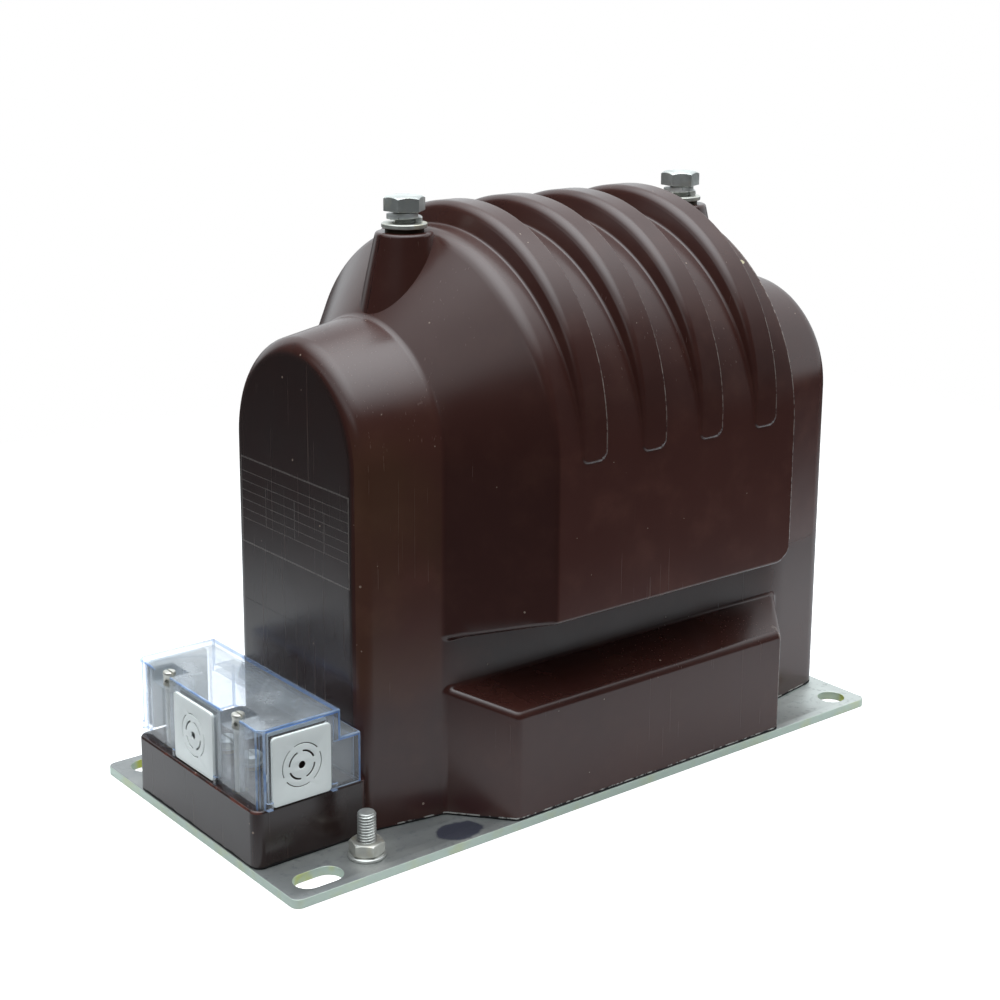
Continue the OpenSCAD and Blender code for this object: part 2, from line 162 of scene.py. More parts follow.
def ring(name, prof, n=96, at=(0, 0, 0)):
    """Turned ring from a closed [radius, z] outline."""
    a = np.arange(n) * 2 * np.pi / n
    m = len(prof)
    verts = [(at[0] + r * math.cos(t), at[1] + r * math.sin(t), at[2] + z) for t in a for r, z in prof]
    faces = [(i * m + k, i * m + (k + 1) % m, ((i + 1) % n) * m + (k + 1) % m, ((i + 1) % n) * m + k)
             for i in range(n) for k in range(m)]
    return mesh_object(name, verts, faces)


def rounded_box(name, lo, hi, r_side=0.0, r_top=0.0, seg=4, seg_top=3, r_low=0.0):
    bm = bmesh.new()
    bmesh.ops.create_cube(bm, size=1.0)
    lo, hi = np.array(lo, float) * MM, np.array(hi, float) * MM
    for v in bm.verts:
        v.co = Vector([(lo[k] + hi[k]) / 2 + v.co[k] * (hi[k] - lo[k]) for k in range(3)])
    if r_side > 0:
        es = [e for e in bm.edges if abs(e.verts[0].co.z - e.verts[1].co.z) > 1e-6]
        bmesh.ops.bevel(bm, geom=es, offset=r_side * MM, segments=seg, profile=0.5, affect="EDGES")
    if r_top > 0:
        es = [e for e in bm.edges if all(abs(v.co.z - hi[2]) < 1e-7 for v in e.verts)
              and len(e.link_faces) == 2 and e.calc_face_angle() > 1.0]
        bmesh.ops.bevel(bm, geom=es, offset=r_top * MM, segments=seg_top, profile=0.5, affect="EDGES")
    if r_low > 0:
        es = [e for e in bm.edges if all(abs(v.co.z - lo[2]) < 1e-7 for v in e.verts)
              and len(e.link_faces) == 2 and e.calc_face_angle() > 1.0]
        bmesh.ops.bevel(bm, geom=es, offset=r_low * MM, segments=3, profile=0.5, affect="EDGES")
    return bm_object(name, bm)


def outline_solid(name, loops, depth, matrix, edge=0.0, res=2):
    """Plate cut from closed 2D outlines in mm, the first round the others, with softened edges."""
    cu = bpy.data.curves.new(name, "CURVE")
    cu.dimensions = "2D"
    cu.fill_mode = "BOTH"
    for pts in loops:
        sp = cu.splines.new("POLY")
        sp.points.add(len(pts) - 1)
        for p, q in zip(sp.points, pts):
            p.co = (q[0] * MM, q[1] * MM, 0, 1)
        sp.use_cyclic_u = True
    cu.extrude = (depth / 2 - edge) * MM
    cu.bevel_depth = edge * MM
    cu.bevel_resolution = res
    cu.offset = -edge * MM
    o = new_object(name, cu)
    dg = bpy.context.evaluated_depsgraph_get()
    me = bpy.data.meshes.new_from_object(o.evaluated_get(dg))
    me.transform(matrix)
    drop(o)
    bm = bmesh.new()
    bm.from_mesh(me)
    bmesh.ops.remove_doubles(bm, verts=bm.verts, dist=1e-7)
    bmesh.ops.recalc_face_normals(bm, faces=bm.faces)
    bm.to_mesh(me)
    bm.free()
    return new_object(name, me)


def arc2(cx, cy, r, a0, a1, n):
    t = np.radians(np.linspace(a0, a1, n + 1))
    return [(cx + r * math.cos(a), cy + r * math.sin(a)) for a in t]


def round_rect2(x0, y0, x1, y1, r, n=6):
    return (arc2(x1 - r, y1 - r, r, 0, 90, n) + arc2(x0 + r, y1 - r, r, 90, 180, n)
            + arc2(x0 + r, y0 + r, r, 180, 270, n) + arc2(x1 - r, y0 + r, r, 270, 360, n))


# ---------------------------------------------------------------- node helpers

def material(name):
    m = bpy.data.materials.new(name)
    m.use_nodes = True
    m.node_tree.nodes.clear()
    return m


class Tree:
    def __init__(self, m):
        self.t = m.node_tree
        self.n = self.t.nodes
        self.l = self.t.links

    def add(self, kind, props=None, **inputs):
        nd = self.n.new(kind)
        for k, v in (props or {}).items():
            setattr(nd, k, v)
        for k, v in inputs.items():
            key = int(k[1:]) if k[0] == "i" and k[1:].isdigit() else k.replace("_", " ")
            self.put(nd, key, v)
        return nd

    def put(self, nd, key, v):
        s = nd.inputs[key]
        if isinstance(v, bpy.types.NodeSocket):
            self.l.new(v, s)
        elif isinstance(v, bpy.types.Node):
            self.l.new(v.outputs[0], s)
        else:
            s.default_value = v

    def math(self, op, a, b=0.0, c=0.0, clamp=False):
        nd = self.n.new("ShaderNodeMath")
        nd.operation = op
        nd.use_clamp = clamp
        for i, v in enumerate((a, b, c)):
            self.put(nd, i, v)
        return nd.outputs[0]

    def mixc(self, f, a, b, mode="MIX"):
        nd = self.n.new("ShaderNodeMix")
        nd.data_type = "RGBA"
        nd.blend_type = mode
        nd.clamp_factor = True
        self.put(nd, 0, f)
        self.put(nd, 6, a)
        self.put(nd, 7, b)
        return nd.outputs[2]

    def noise(self, vec, scale, detail=3.0, rough=0.5, dist=0.0):
        nd = self.add("ShaderNodeTexNoise", None, Vector=vec, Scale=scale, Detail=detail, Roughness=rough, Distortion=dist)
        return nd.outputs[0]

    def step(self, v, a, b):
        """0 at a, 1 at b, clamped"""
        nd = self.n.new("ShaderNodeMapRange")
        nd.clamp = True
        nd.interpolation_type = "SMOOTHSTEP"
        self.put(nd, 0, v)
        self.put(nd, 1, a)
        self.put(nd, 2, b)
        return nd.outputs[0]

    def scaled(self, vec, s):
        nd = self.n.new("ShaderNodeVectorMath")
        nd.operation = "MULTIPLY"
        self.put(nd, 0, vec)
        nd.inputs[1].default_value = s
        return nd.outputs[0]

    def xyz(self, vec):
        nd = self.n.new("ShaderNodeSeparateXYZ")
        self.put(nd, 0, vec)
        return nd.outputs

    def bump(self, h, strength, dist, normal=None):
        nd = self.n.new("ShaderNodeBump")
        nd.inputs["Strength"].default_value = strength
        nd.inputs["Distance"].default_value = dist
        self.put(nd, "Height", h)
        if normal is not None:
            self.put(nd, "Normal", normal)
        return nd.outputs[0]


def g(v, a=1.0):
    """sRGB 0..255 to linear colour"""
    def f(c):
        c = c / 255.0
        return c / 12.92 if c <= 0.04045 else ((c + 0.055) / 1.055) ** 2.4
    return (f(v[0]), f(v[1]), f(v[2]), a)


# ---------------------------------------------------------------- materials

def object_pos(t):
    return t.add("ShaderNodeTexCoord").outputs["Object"]


def make_resin():
    m = material("resin")
    t = Tree(m)
    pos = object_pos(t)
    x, y, z = t.xyz(pos)
    big = t.noise(pos, 9.0, 3.0, 0.55)
    mid = t.noise(pos, 46.0, 4.0, 0.6)
    fine = t.noise(pos, 620.0, 3.0, 0.6)
    base = t.mixc(t.step(big, 0.35, 0.68), g((57, 30, 26)), g((63, 34, 29)))
    base = t.mixc(t.step(mid, 0.45, 0.8), base, g((67, 38, 32)))
    # painted shade with a grey sheen on the end faces, in patches
    end_face_painted_shade = t.math("MULTIPLY", t.step(t.math("ABSOLUTE", t.math("SUBTRACT", x, 0.0245)), 0.1398, 0.1404), t.math("MULTIPLY_ADD", mid, 0.5, 0.5, clamp=True))
    base = t.mixc(end_face_painted_shade, base, g((40, 32, 31)))
    # painted light: the upright sides painted a little lighter than the winding's arch and its cone, for the light they
    # catch from the front
    lean = t.math("MULTIPLY", t.step(x, -0.0455, -0.0440), t.step(z, 0.080, 0.088))
    lean = t.math("MAXIMUM", lean, t.math("MULTIPLY", t.step(x, -0.0765, -0.0790), t.step(z, 0.050, 0.075)))
    lean = t.math("MULTIPLY", lean, t.math("MULTIPLY", t.step(z, 0.190, 0.155), t.math("GREATER_THAN", x, -0.1150)))
    base = t.mixc(lean, base, t.mixc(1.0, base, (1.68, 1.74, 1.74, 1), "MULTIPLY"))
    # olive tint in patches over the painted-light casing sides
    olive = t.math("MULTIPLY", t.math("MULTIPLY", lean, t.math("LESS_THAN", x, -0.0780)), t.step(t.noise(pos, 14.0, 3.0, 0.55), 0.30, 0.62))
    base = t.mixc(olive, base, t.mixc(1.0, base, (1.02, 1.30, 0.98, 1), "MULTIPLY"))
    # light specks of dust and filler
    vor = t.add("ShaderNodeTexVoronoi", {"feature": "F1"}, Vector=pos, Scale=150.0, Randomness=1.0)
    keep = t.math("GREATER_THAN", t.xyz(vor.outputs["Color"])[0], 0.62)
    size = t.math("MULTIPLY_ADD", t.math("POWER", t.xyz(vor.outputs["Color"])[1], 3.0), 0.055, 0.034)
    speck = t.math("MULTIPLY", keep, t.math("LESS_THAN", vor.outputs["Distance"], size))
    base = t.mixc(t.math("MULTIPLY", speck, 0.6), base, g((172, 152, 136)))
    # thin upright scratches
    sv = t.scaled(pos, (900.0, 900.0, 14.0))
    sn = t.noise(sv, 1.0, 2.0, 0.5)
    patch = t.step(t.noise(pos, 17.0, 2.0, 0.5), 0.5, 0.66)
    patch = t.math("MAXIMUM", patch, t.math("MULTIPLY", t.math("LESS_THAN", x, -0.1158), 0.75))
    scratch = t.math("MULTIPLY", t.step(sn, 0.66, 0.76), patch)
    base = t.mixc(t.math("MULTIPLY", scratch, 0.35), base, g((112, 88, 78)))
    # mould parting line along the top of the casing
    line_y = t.math("ABSOLUTE", t.math("SUBTRACT", y, t.math("MULTIPLY", t.math("SUBTRACT", t.noise(t.scaled(pos, (60.0, 0.0, 0.0)), 1.0, 1.0), 0.5), 0.0012)))
    on_line = t.math("LESS_THAN", line_y, 0.00042)
    broken = t.step(t.noise(t.scaled(pos, (230.0, 0.0, 0.0)), 1.0, 2.0, 0.6), 0.47, 0.56)
    on_top = t.math("GREATER_THAN", z, 0.19)
    in_x = t.math("LESS_THAN", x, -0.070)
    parting = t.math("MULTIPLY", t.math("MULTIPLY", on_line, broken), t.math("MULTIPLY", on_top, in_x))
    base = t.mixc(t.math("MULTIPLY", parting, 0.9), base, g((40, 16, 12)))
    # ruled frame on the end face
    lw = 0.00035
    inside_y = t.math("LESS_THAN", t.math("ABSOLUTE", y), 0.0424)
    inside_z = t.math("LESS_THAN", t.math("ABSOLUTE", t.math("SUBTRACT", z, 0.1301)), 0.0198)
    end = t.math("LESS_THAN", x, -0.1158)
    edge_y = t.math("LESS_THAN", t.math("ABSOLUTE", t.math("SUBTRACT", t.math("ABSOLUTE", y), 0.0420)), lw)
    edge_z = t.math("LESS_THAN", t.math("ABSOLUTE", t.math("SUBTRACT", t.math("ABSOLUTE", t.math("SUBTRACT", z, 0.1301)), 0.0194)), lw)
    rules = t.math("MAXIMUM", edge_y, edge_z)
    for zz in (0.1432, 0.1388, 0.1345, 0.1302, 0.1259, 0.1216):
        rules = t.math("MAXIMUM", rules, t.math("MULTIPLY", t.math("LESS_THAN", t.math("ABSOLUTE", t.math("SUBTRACT", z, zz)), 0.00018), 0.75))
    in_cols = t.math("MULTIPLY", t.math("LESS_THAN", z, 0.1388), t.math("GREATER_THAN", z, 0.1216))
    for yy in (0.022, -0.001, -0.024):
        rules = t.math("MAXIMUM", rules, t.math("MULTIPLY", t.math("MULTIPLY", t.math("LESS_THAN", t.math("ABSOLUTE", t.math("SUBTRACT", y, yy)), 0.00018), in_cols), 0.75))
    rules = t.math("MULTIPLY", t.math("MULTIPLY", rules, end), t.math("MULTIPLY", inside_y, inside_z))
    worn = t.math("MULTIPLY_ADD", t.noise(pos, 380.0, 2.0), 0.7, 0.35, clamp=True)
    rules = t.math("MULTIPLY", rules, worn)
    base = t.mixc(t.math("MULTIPLY", rules, 0.8), base, g((118, 112, 108)))
    # thin light line on sharp mould edges: mould flash and a painted highlight
    att = t.add("ShaderNodeAttribute", {"attribute_name": "flash_and_highlight"})
    fl = t.math("MULTIPLY", att.outputs["Fac"], t.step(t.noise(pos, 420.0, 2.0, 0.6), 0.36, 0.6))
    base = t.mixc(t.math("MULTIPLY", fl, 0.62), base, g((156, 144, 136)))
    # painted shadow: a near-black band along the foot of the casting, and a reddish band along the upper edge of the
    # terminal block
    painted_shadow_band = t.math("LESS_THAN", z, t.math("MULTIPLY_ADD", t.noise(pos, 90.0, 2.0, 0.6), 0.0020, 0.00425))
    base = t.mixc(painted_shadow_band, base, g((8, 7, 7)))
    dust = t.math("MULTIPLY", t.math("GREATER_THAN", z, 0.0049), t.math("LESS_THAN", z, 0.0055))
    dust = t.math("MULTIPLY", dust, t.math("MULTIPLY", t.math("GREATER_THAN", x, -0.1000), t.step(t.noise(pos, 260.0, 3.0, 0.6), 0.44, 0.58)))
    base = t.mixc(t.math("MULTIPLY", dust, 0.75), base, g((188, 186, 180)))
    seam = t.math("MULTIPLY", t.math("LESS_THAN", t.math("ABSOLUTE", t.math("ADD", x, 0.1290)), 0.00022), t.math("LESS_THAN", y, -0.0500))
    seam = t.math("MULTIPLY", seam, t.math("MULTIPLY", t.math("LESS_THAN", z, 0.0285), t.step(t.noise(t.scaled(pos, (0.0, 0.0, 420.0)), 1.0, 2.0, 0.6), 0.46, 0.54)))
    base = t.mixc(t.math("MULTIPLY", seam, 0.7), base, g((164, 158, 152)))
    rim = t.math("MULTIPLY", t.step(z, 0.0278, 0.0284), t.math("MULTIPLY", t.math("LESS_THAN", z, 0.0292), t.math("LESS_THAN", x, -0.1640)))
    base = t.mixc(t.math("MULTIPLY", rim, t.step(t.noise(pos, 130.0, 3.0, 0.6), 0.40, 0.70)), base, g((98, 52, 42)))
    # one pale fleck on the last rib
    dx = t.math("DIVIDE", t.math("SUBTRACT", x, 0.0906), 0.0016)
    dz = t.math("DIVIDE", t.math("SUBTRACT", z, 0.2291), 0.0008)
    fleck = t.math("MULTIPLY", t.math("LESS_THAN", t.math("ADD", t.math("MULTIPLY", dx, dx), t.math("MULTIPLY", dz, dz)), 1.0), t.math("LESS_THAN", y, 0.0))
    base = t.mixc(t.math("MULTIPLY", fleck, 0.8), base, g((206, 196, 160)))
    # gloss
    rough = t.math("MULTIPLY_ADD", mid, 0.12, 0.14)
    rough = t.math("MULTIPLY_ADD", big, 0.06, rough)
    rough = t.math("MULTIPLY_ADD", t.math("MAXIMUM", speck, scratch), 0.2, rough, clamp=True)
    wav = t.noise(pos, 24.0, 2.0, 0.5)
    rough = t.math("MAXIMUM", rough, painted_shadow_band)
    n1 = t.bump(wav, 0.16, 0.0012)
    n2 = t.bump(fine, 0.08, 0.00006, n1)
    n3 = t.bump(t.math("SUBTRACT", fl, t.math("MAXIMUM", rules, parting)), 0.5, 0.0001, n2)
    p = t.add("ShaderNodeBsdfPrincipled", None, Base_Color=base, Roughness=rough, Normal=n3)
    p.inputs["IOR"].default_value = 1.53
    out = t.add("ShaderNodeOutputMaterial", None, Surface=p)
    return m


def make_metal(name, tone, rough=0.28, grain=(300.0, 300.0, 60.0), spread=0.10, warm=None, metallic=1.0):
    m = material(name)
    t = Tree(m)
    pos = object_pos(t)
    n = t.noise(t.scaled(pos, grain), 1.0, 4.0, 0.65)
    b = t.noise(pos, 90.0, 3.0, 0.6)
    dark = tuple(c * 0.72 for c in tone[:3]) + (1.0,)
    col = t.mixc(t.step(b, 0.36, 0.62), dark, tone)
    if warm:
        col = t.mixc(t.math("MULTIPLY", t.step(t.noise(pos, 160.0, 2.0, 0.5), 0.55, 0.75), 0.5), col, warm)
    r = t.math("MULTIPLY_ADD", n, spread * 2, rough - spread * 0.6, clamp=True)
    nb = t.bump(n, 0.18, 0.00006)
    p = t.add("ShaderNodeBsdfPrincipled", None, Base_Color=col, Roughness=r, Normal=nb)
    p.inputs["Metallic"].default_value = metallic
    t.add("ShaderNodeOutputMaterial", None, Surface=p)
    return m


def make_plate():
    m = material("plate_zinc")
    t = Tree(m)
    pos = object_pos(t)
    x, y, z = t.xyz(pos)
    cloud = t.noise(pos, 16.0, 4.0, 0.6)
    grain = t.noise(t.scaled(pos, (60.0, 420.0, 300.0)), 1.0, 3.0, 0.6)
    spots = t.noise(pos, 240.0, 3.0, 0.62)
    top = t.mixc(t.step(cloud, 0.36, 0.66), g((142, 144, 144)), g((178, 179, 176)))
    top = t.mixc(t.math("MULTIPLY", t.step(x, 0.095, 0.150), 0.75), top, g((206, 211, 207)))
    top = t.mixc(t.math("MULTIPLY", t.step(spots, 0.52, 0.70), 0.42), top, g((112, 118, 120)))
    # clear passivation, greener on the cut edges, yellow in the holes
    att = t.add("ShaderNodeAttribute", {"attribute_name": "cut"})
    cut = att.outputs["Fac"]
    side = t.mixc(t.step(t.noise(pos, 60.0, 3.0, 0.6), 0.45, 0.7), g((192, 204, 194)), g((196, 204, 178)))
    col = t.mixc(t.math("MINIMUM", cut, 1.0), top, side)
    hole = t.math("GREATER_THAN", cut, 1.5)
    col = t.mixc(t.math("MULTIPLY", hole, t.step(t.noise(pos, 80.0, 2.0), 0.42, 0.62)), col, g((196, 200, 104)))
    # dark oily stain in front of the casing
    ex = t.math("DIVIDE", t.math("ADD", x, 0.0808), 0.0112)
    ey = t.math("DIVIDE", t.math("ADD", y, 0.0710), 0.0080)
    wob = t.math("MULTIPLY", t.math("SUBTRACT", t.noise(pos, 120.0, 3.0, 0.6), 0.5), 0.7)
    rad = t.math("ADD", t.math("SQRT", t.math("ADD", t.math("POWER", ex, 2.0), t.math("POWER", ey, 2.0))), wob)
    stain = t.math("MULTIPLY", t.math("SUBTRACT", 1.0, t.step(rad, 0.86, 1.06)), t.math("GREATER_THAN", z, 0.0038))
    col = t.mixc(t.math("MULTIPLY", stain, 0.86), col, g((62, 64, 84)))
    rough = t.math("MULTIPLY_ADD", spots, 0.18, 0.30)
    rough = t.math("MULTIPLY_ADD", cut, 0.12, rough)
    nb = t.bump(grain, 0.22, 0.00008)
    nb = t.bump(cloud, 0.10, 0.0008, nb)
    p = t.add("ShaderNodeBsdfPrincipled", None, Base_Color=col, Roughness=rough, Normal=nb)
    p.inputs["Metallic"].default_value = 0.62
    t.add("ShaderNodeOutputMaterial", None, Surface=p)
    return m


def make_clear(name, tint, glossy=0.03, haze=0.06, bands=False, top=False):
    m = material(name)
    t = Tree(m)
    pos = object_pos(t)
    n = t.noise(pos, 30.0, 2.0, 0.5)
    nb = t.bump(n, 0.10, 0.0004)
    lw = t.add("ShaderNodeLayerWeight", None, Normal=nb)
    lw.inputs["Blend"].default_value = 0.5
    fr = t.math("MULTIPLY_ADD", t.math("POWER", lw.outputs["Facing"], 5.0), 0.9, 0.05, clamp=True)
    cloud = t.math("MULTIPLY_ADD", t.step(t.noise(pos, 70.0, 3.0, 0.6), 0.45, 0.75), haze * 0.8, haze, clamp=True)
    film_col, body_col = tint, g((226, 231, 236))
    if bands:
        x, y, z = t.xyz(pos)
        gt = lambda a, v: t.math("GREATER_THAN", a, v * MM)
        side = t.math("GREATER_THAN", t.math("ABSOLUTE", t.math("SUBTRACT", y, 1.4 * MM)), 50.9 * MM)
        rear = t.math("MULTIPLY", gt(x, -127.2), gt(z, 50.1))
        low = t.math("MULTIPLY", gt(x, -117.4), 1.0)
        lid = gt(z, 62.4)
        mask = t.math("MAXIMUM", t.math("MAXIMUM", rear, low), lid)
        mask = t.math("MULTIPLY", mask, t.math("MULTIPLY", side, t.math("LESS_THAN", z, 63.3 * MM)))
        front = t.math("MULTIPLY", t.math("LESS_THAN", x, -164.7 * MM), t.math("MULTIPLY", lid, 0.45))
        mask = t.math("MAXIMUM", mask, front)
        mask = t.math("MULTIPLY", mask, t.math("MULTIPLY_ADD", t.math("LESS_THAN", y, 0.0), 0.65, 0.35))
        film_col = t.mixc(mask, tint, g((168, 200, 244)))
        body_col = t.mixc(mask, body_col, g((112, 156, 226)))
        cloud = t.math("MULTIPLY_ADD", mask, 0.34, cloud, clamp=True)
    if top:
        x, y, z = t.xyz(pos)
        far_edge = t.math("MULTIPLY", t.math("GREATER_THAN", x, -128.9 * MM), t.math("MULTIPLY", t.math("LESS_THAN", x, -127.0 * MM), t.math("GREATER_THAN", z, 60.0 * MM)))
        far_edge = t.math("MAXIMUM", far_edge, t.math("GREATER_THAN", t.math("ABSOLUTE", t.math("SUBTRACT", y, 1.4 * MM)), 50.4 * MM))
        film_col = t.mixc(far_edge, tint, g((186, 208, 240)))
        body_col = t.mixc(far_edge, body_col, g((142, 170, 216)))
        cloud = t.math("MULTIPLY_ADD", far_edge, 0.22, cloud, clamp=True)
    film = t.add("ShaderNodeBsdfTransparent", None, Color=film_col)
    body = t.add("ShaderNodeBsdfPrincipled", None, Base_Color=body_col, Normal=nb)
    body.inputs["Roughness"].default_value = 0.35
    shine = t.add("ShaderNodeBsdfGlossy", None, Normal=nb)
    shine.inputs["Color"].default_value = (1, 1, 1, 1)
    shine.inputs["Roughness"].default_value = glossy
    a = t.add("ShaderNodeMixShader", None, i0=cloud, i1=film, i2=body)
    b = t.add("ShaderNodeMixShader", None, i0=fr, i1=a, i2=shine)
    t.add("ShaderNodeOutputMaterial", None, Surface=b)
    return m


def make_edge_blue():
    m = material("clear_edge")
    t = Tree(m)
    pos = object_pos(t)
    n = t.noise(pos, 95.0, 3.0, 0.6)
    col = t.mixc(t.step(n, 0.35, 0.65), g((138, 174, 228)), g((204, 220, 242)))
    film = t.add("ShaderNodeBsdfTransparent")
    film.inputs["Color"].default_value = g((212, 226, 248))
    body = t.add("ShaderNodeBsdfPrincipled", None, Base_Color=col)
    body.inputs["Roughness"].default_value = 0.12
    f = t.math("MULTIPLY_ADD", n, 0.5, 0.22, clamp=True)
    a = t.add("ShaderNodeMixShader", None, i0=f, i1=film, i2=body)
    t.add("ShaderNodeOutputMaterial", None, Surface=a)
    return m


def make_white():
    m = material("panel_white")
    t = Tree(m)
    pos = object_pos(t)
    n = t.noise(pos, 55.0, 3.0, 0.6)
    f = t.noise(pos, 900.0, 2.0, 0.5)
    col = t.mixc(t.step(n, 0.35, 0.7), g((236, 240, 238)), g((243, 246, 244)))
    r = t.math("MULTIPLY_ADD", n, 0.15, 0.42)
    p = t.add("ShaderNodeBsdfPrincipled", None, Base_Color=col, Roughness=r, Normal=t.bump(f, 0.12, 0.00004))
    t.add("ShaderNodeOutputMaterial", None, Surface=p)
    return m


def make_simple(name, c0, c1, rough, metallic=0.0, scale=(120.0, 120.0, 120.0), bump=0.2):
    m = material(name)
    t = Tree(m)
    pos = object_pos(t)
    n = t.noise(t.scaled(pos, scale), 1.0, 3.0, 0.6)
    col = t.mixc(t.step(n, 0.35, 0.66), c0, c1)
    r = t.math("MULTIPLY_ADD", n, 0.2, rough, clamp=True)
    p = t.add("ShaderNodeBsdfPrincipled", None, Base_Color=col, Roughness=r, Normal=t.bump(n, bump, 0.0001))
    p.inputs["Metallic"].default_value = metallic
    t.add("ShaderNodeOutputMaterial", None, Surface=p)
    return m


RESIN = make_resin()
BRIGHT = make_metal("bright_zinc", g((212, 215, 212)), 0.40, warm=g((214, 212, 196)), metallic=0.6)
WASHER = make_metal("washer_zinc", g((216, 216, 208)), 0.34, warm=g((210, 198, 160)), metallic=0.55)
SPRING = make_metal("spring_zinc", g((240, 243, 241)), 0.26, metallic=0.4)
STUD = make_metal("stud_zinc", g((216, 217, 213)), 0.32, metallic=0.75)
NUT = make_metal("nut_zinc", g((216, 214, 206)), 0.30, warm=g((210, 198, 168)), metallic=0.7)
BRASS = make_metal("brass_turned", g((176, 146, 84)), 0.34)
# brass of the line terminal inserts painted near black: painted shade in the gap under the flat washers
SHADED_BRASS = make_metal("brass_painted_shade", g((72, 64, 52)), 0.5)
PLATE = make_plate()
CLEAR = make_clear("clear_wall", g((249, 250, 252)), 0.03, 0.085, True)
CLEAR_COL = make_clear("clear_column", g((248, 250, 252)), 0.05, 0.20)
CLEAR_TOP = make_clear("clear_lid", g((231, 235, 239)), 0.16, 0.19, top=True)
EDGE = make_edge_blue()
WHITE = make_white()
DEEP = make_simple("panel_shadow", g((58, 34, 30)), g((70, 44, 38)), 0.5)
SHADE = make_simple("panel_shade", g((150, 152, 152)), g((164, 166, 165)), 0.5)
CORE = make_simple("core_steel", g((92, 96, 104)), g((118, 122, 130)), 0.34, 0.9, (30.0, 900.0, 30.0))
BAND = make_simple("band_steel", g((140, 144, 150)), g((168, 172, 176)), 0.3, 1.0, (60.0, 400.0, 60.0))
COPPER = make_simple("copper", g((178, 106, 74)), g((204, 132, 94)), 0.3, 1.0)
ENAMEL = make_simple("enamelled_copper", g((128, 62, 30)), g((160, 84, 42)), 0.25, 0.3, (1400.0, 30.0, 30.0), 0.5)
FOIL = make_simple("shield_foil", g((196, 176, 160)), g((216, 198, 182)), 0.22, 1.0)
BOARD = make_simple("pressboard", g((170, 142, 96)), g((196, 168, 120)), 0.6, 0.0)
STEEL = make_simple("insert_steel", g((150, 152, 152)), g((178, 180, 180)), 0.3, 1.0)


def paint(o, m):
    o.data.materials.clear()
    o.data.materials.append(m)
    return o


for name, m in {
        "core_half_front": CORE, "core_half_rear": CORE, "core_band": BAND, "core_earth_strap": COPPER,
        "coil_former": BOARD, "barrier_tube": BOARD, "secondary_winding_inner": ENAMEL,
        "secondary_winding_outer": ENAMEL, "primary_winding": ENAMEL, "winding_shield": FOIL,
        "hv_leads": COPPER, "lv_leads_inner": COPPER, "lv_leads_outer": COPPER,
        "hv_terminal_inserts": SHADED_BRASS, "lv_terminal_inserts": BRASS, "cover_screw_inserts": BRASS,
        "base_screw_inserts": STEEL, "base_screws": BRIGHT, "lv_terminal_washers": WASHER,
        "lv_terminal_screws": BRIGHT}.items():
    o = nodes[name]
    o.data.materials.clear()
    o.data.materials.append(m)
    for poly in o.data.polygons:
        poly.material_index = 0


# ---------------------------------------------------------------- resin body as one implicit form, mm

CX, AZ = 24.5, 159.0
RIB_X = [CX + k * 33.75 for k in (-1.5, -0.5, 0.5, 1.5)]
RIB_END = 161.0
HOUSE_R = 90.9
BOSS_X = (CX - 81.75, CX + 81.75)


def ss(a, b, v):
    t = np.clip((v - a) / (b - a), 0, 1)
    return t * t * (3 - 2 * t)


def smax(a, b, k):
    h = np.maximum(k - np.abs(a - b), 0)
    return np.maximum(a, b) + h * h / (4 * k)


def rmax(a, b, r):
    return np.minimum(-r, np.maximum(a, b)) + np.hypot(np.maximum(a + r, 0), np.maximum(b + r, 0))


def rmin(a, b, r):
    return np.maximum(r, np.minimum(a, b)) - np.hypot(np.maximum(r - a, 0), np.maximum(r - b, 0))


def f_casing(x, y, z):
    rho = np.where(z > AZ, np.hypot(y, z - AZ), np.abs(y))
    c = smax(rho - 55.2, (rho - 55.2 - 0.17 * (x + 76)) * 0.9859, 1.2)
    c = smax(c, (rho - 55.2 + 0.17 * (x - 125)) * 0.9859, 1.2)
    c = rmax(c, -116 - x, 7.0)
    return rmax(c, x - 165, 7.0)


def house_edge(z):
    return -45.0 - 1.6 * ss(165, 235, z)


def f_housing(x, y, z):
    ay = np.abs(y)
    rho = np.where(z > AZ, np.hypot(y, z - AZ), ay)
    h = rho - HOUSE_R
    cl = (rho - 91.5 + 1.1406 * (house_edge(z) - x)) / 1.5169
    cr = (rho - 91.5 + 1.1406 * (x - 94.0)) / 1.5169
    h = smax(h, cl, 1.4 + 1.8 * ss(165, 240, z))
    h = smax(h, cr, 0.5)
    h = np.maximum(h, np.maximum(-95.0 - x, x - 145.0))
    rise = np.where(x < 94, 8 - np.sqrt(np.maximum(64 - np.maximum(x - 86.5, 0) ** 2, 0)), 8.0)
    rise = np.where(x > 94, rise * (1 - ss(94, 116, x)), rise)
    u = (67.2 + 0.2936 * ay + rise - z) * 0.9595
    return rmax(h, u, 1.2 + 1.2 * ss(-44, -52, x))


def f_feet(x, y, z):
    ay = np.abs(y)
    f = smax(ay - 79.6, ((-x - 55.7) * 24.6 + (ay - 79.6) * 20.8) / 32.2, 1.6)
    f = smax(f, ((x - 103.9) * 24.6 + (ay - 79.6) * 20.8) / 32.2, 0.5)
    f = np.maximum(f, np.maximum(-95.0 - x, x - 145.0))
    t = (z - (61.9 - 0.378 * (ay - 55))) * 0.9354
    return rmax(f, t, 2.4)


def rib_height(alpha):
    """Radial distance of the rib crest above the housing, seen from the winding axis."""
    s, c = np.sin(alpha), np.cos(alpha)
    return np.maximum(9.5 * s + np.sqrt(91.5 ** 2 - (9.5 * c) ** 2) - HOUSE_R, 0.6)


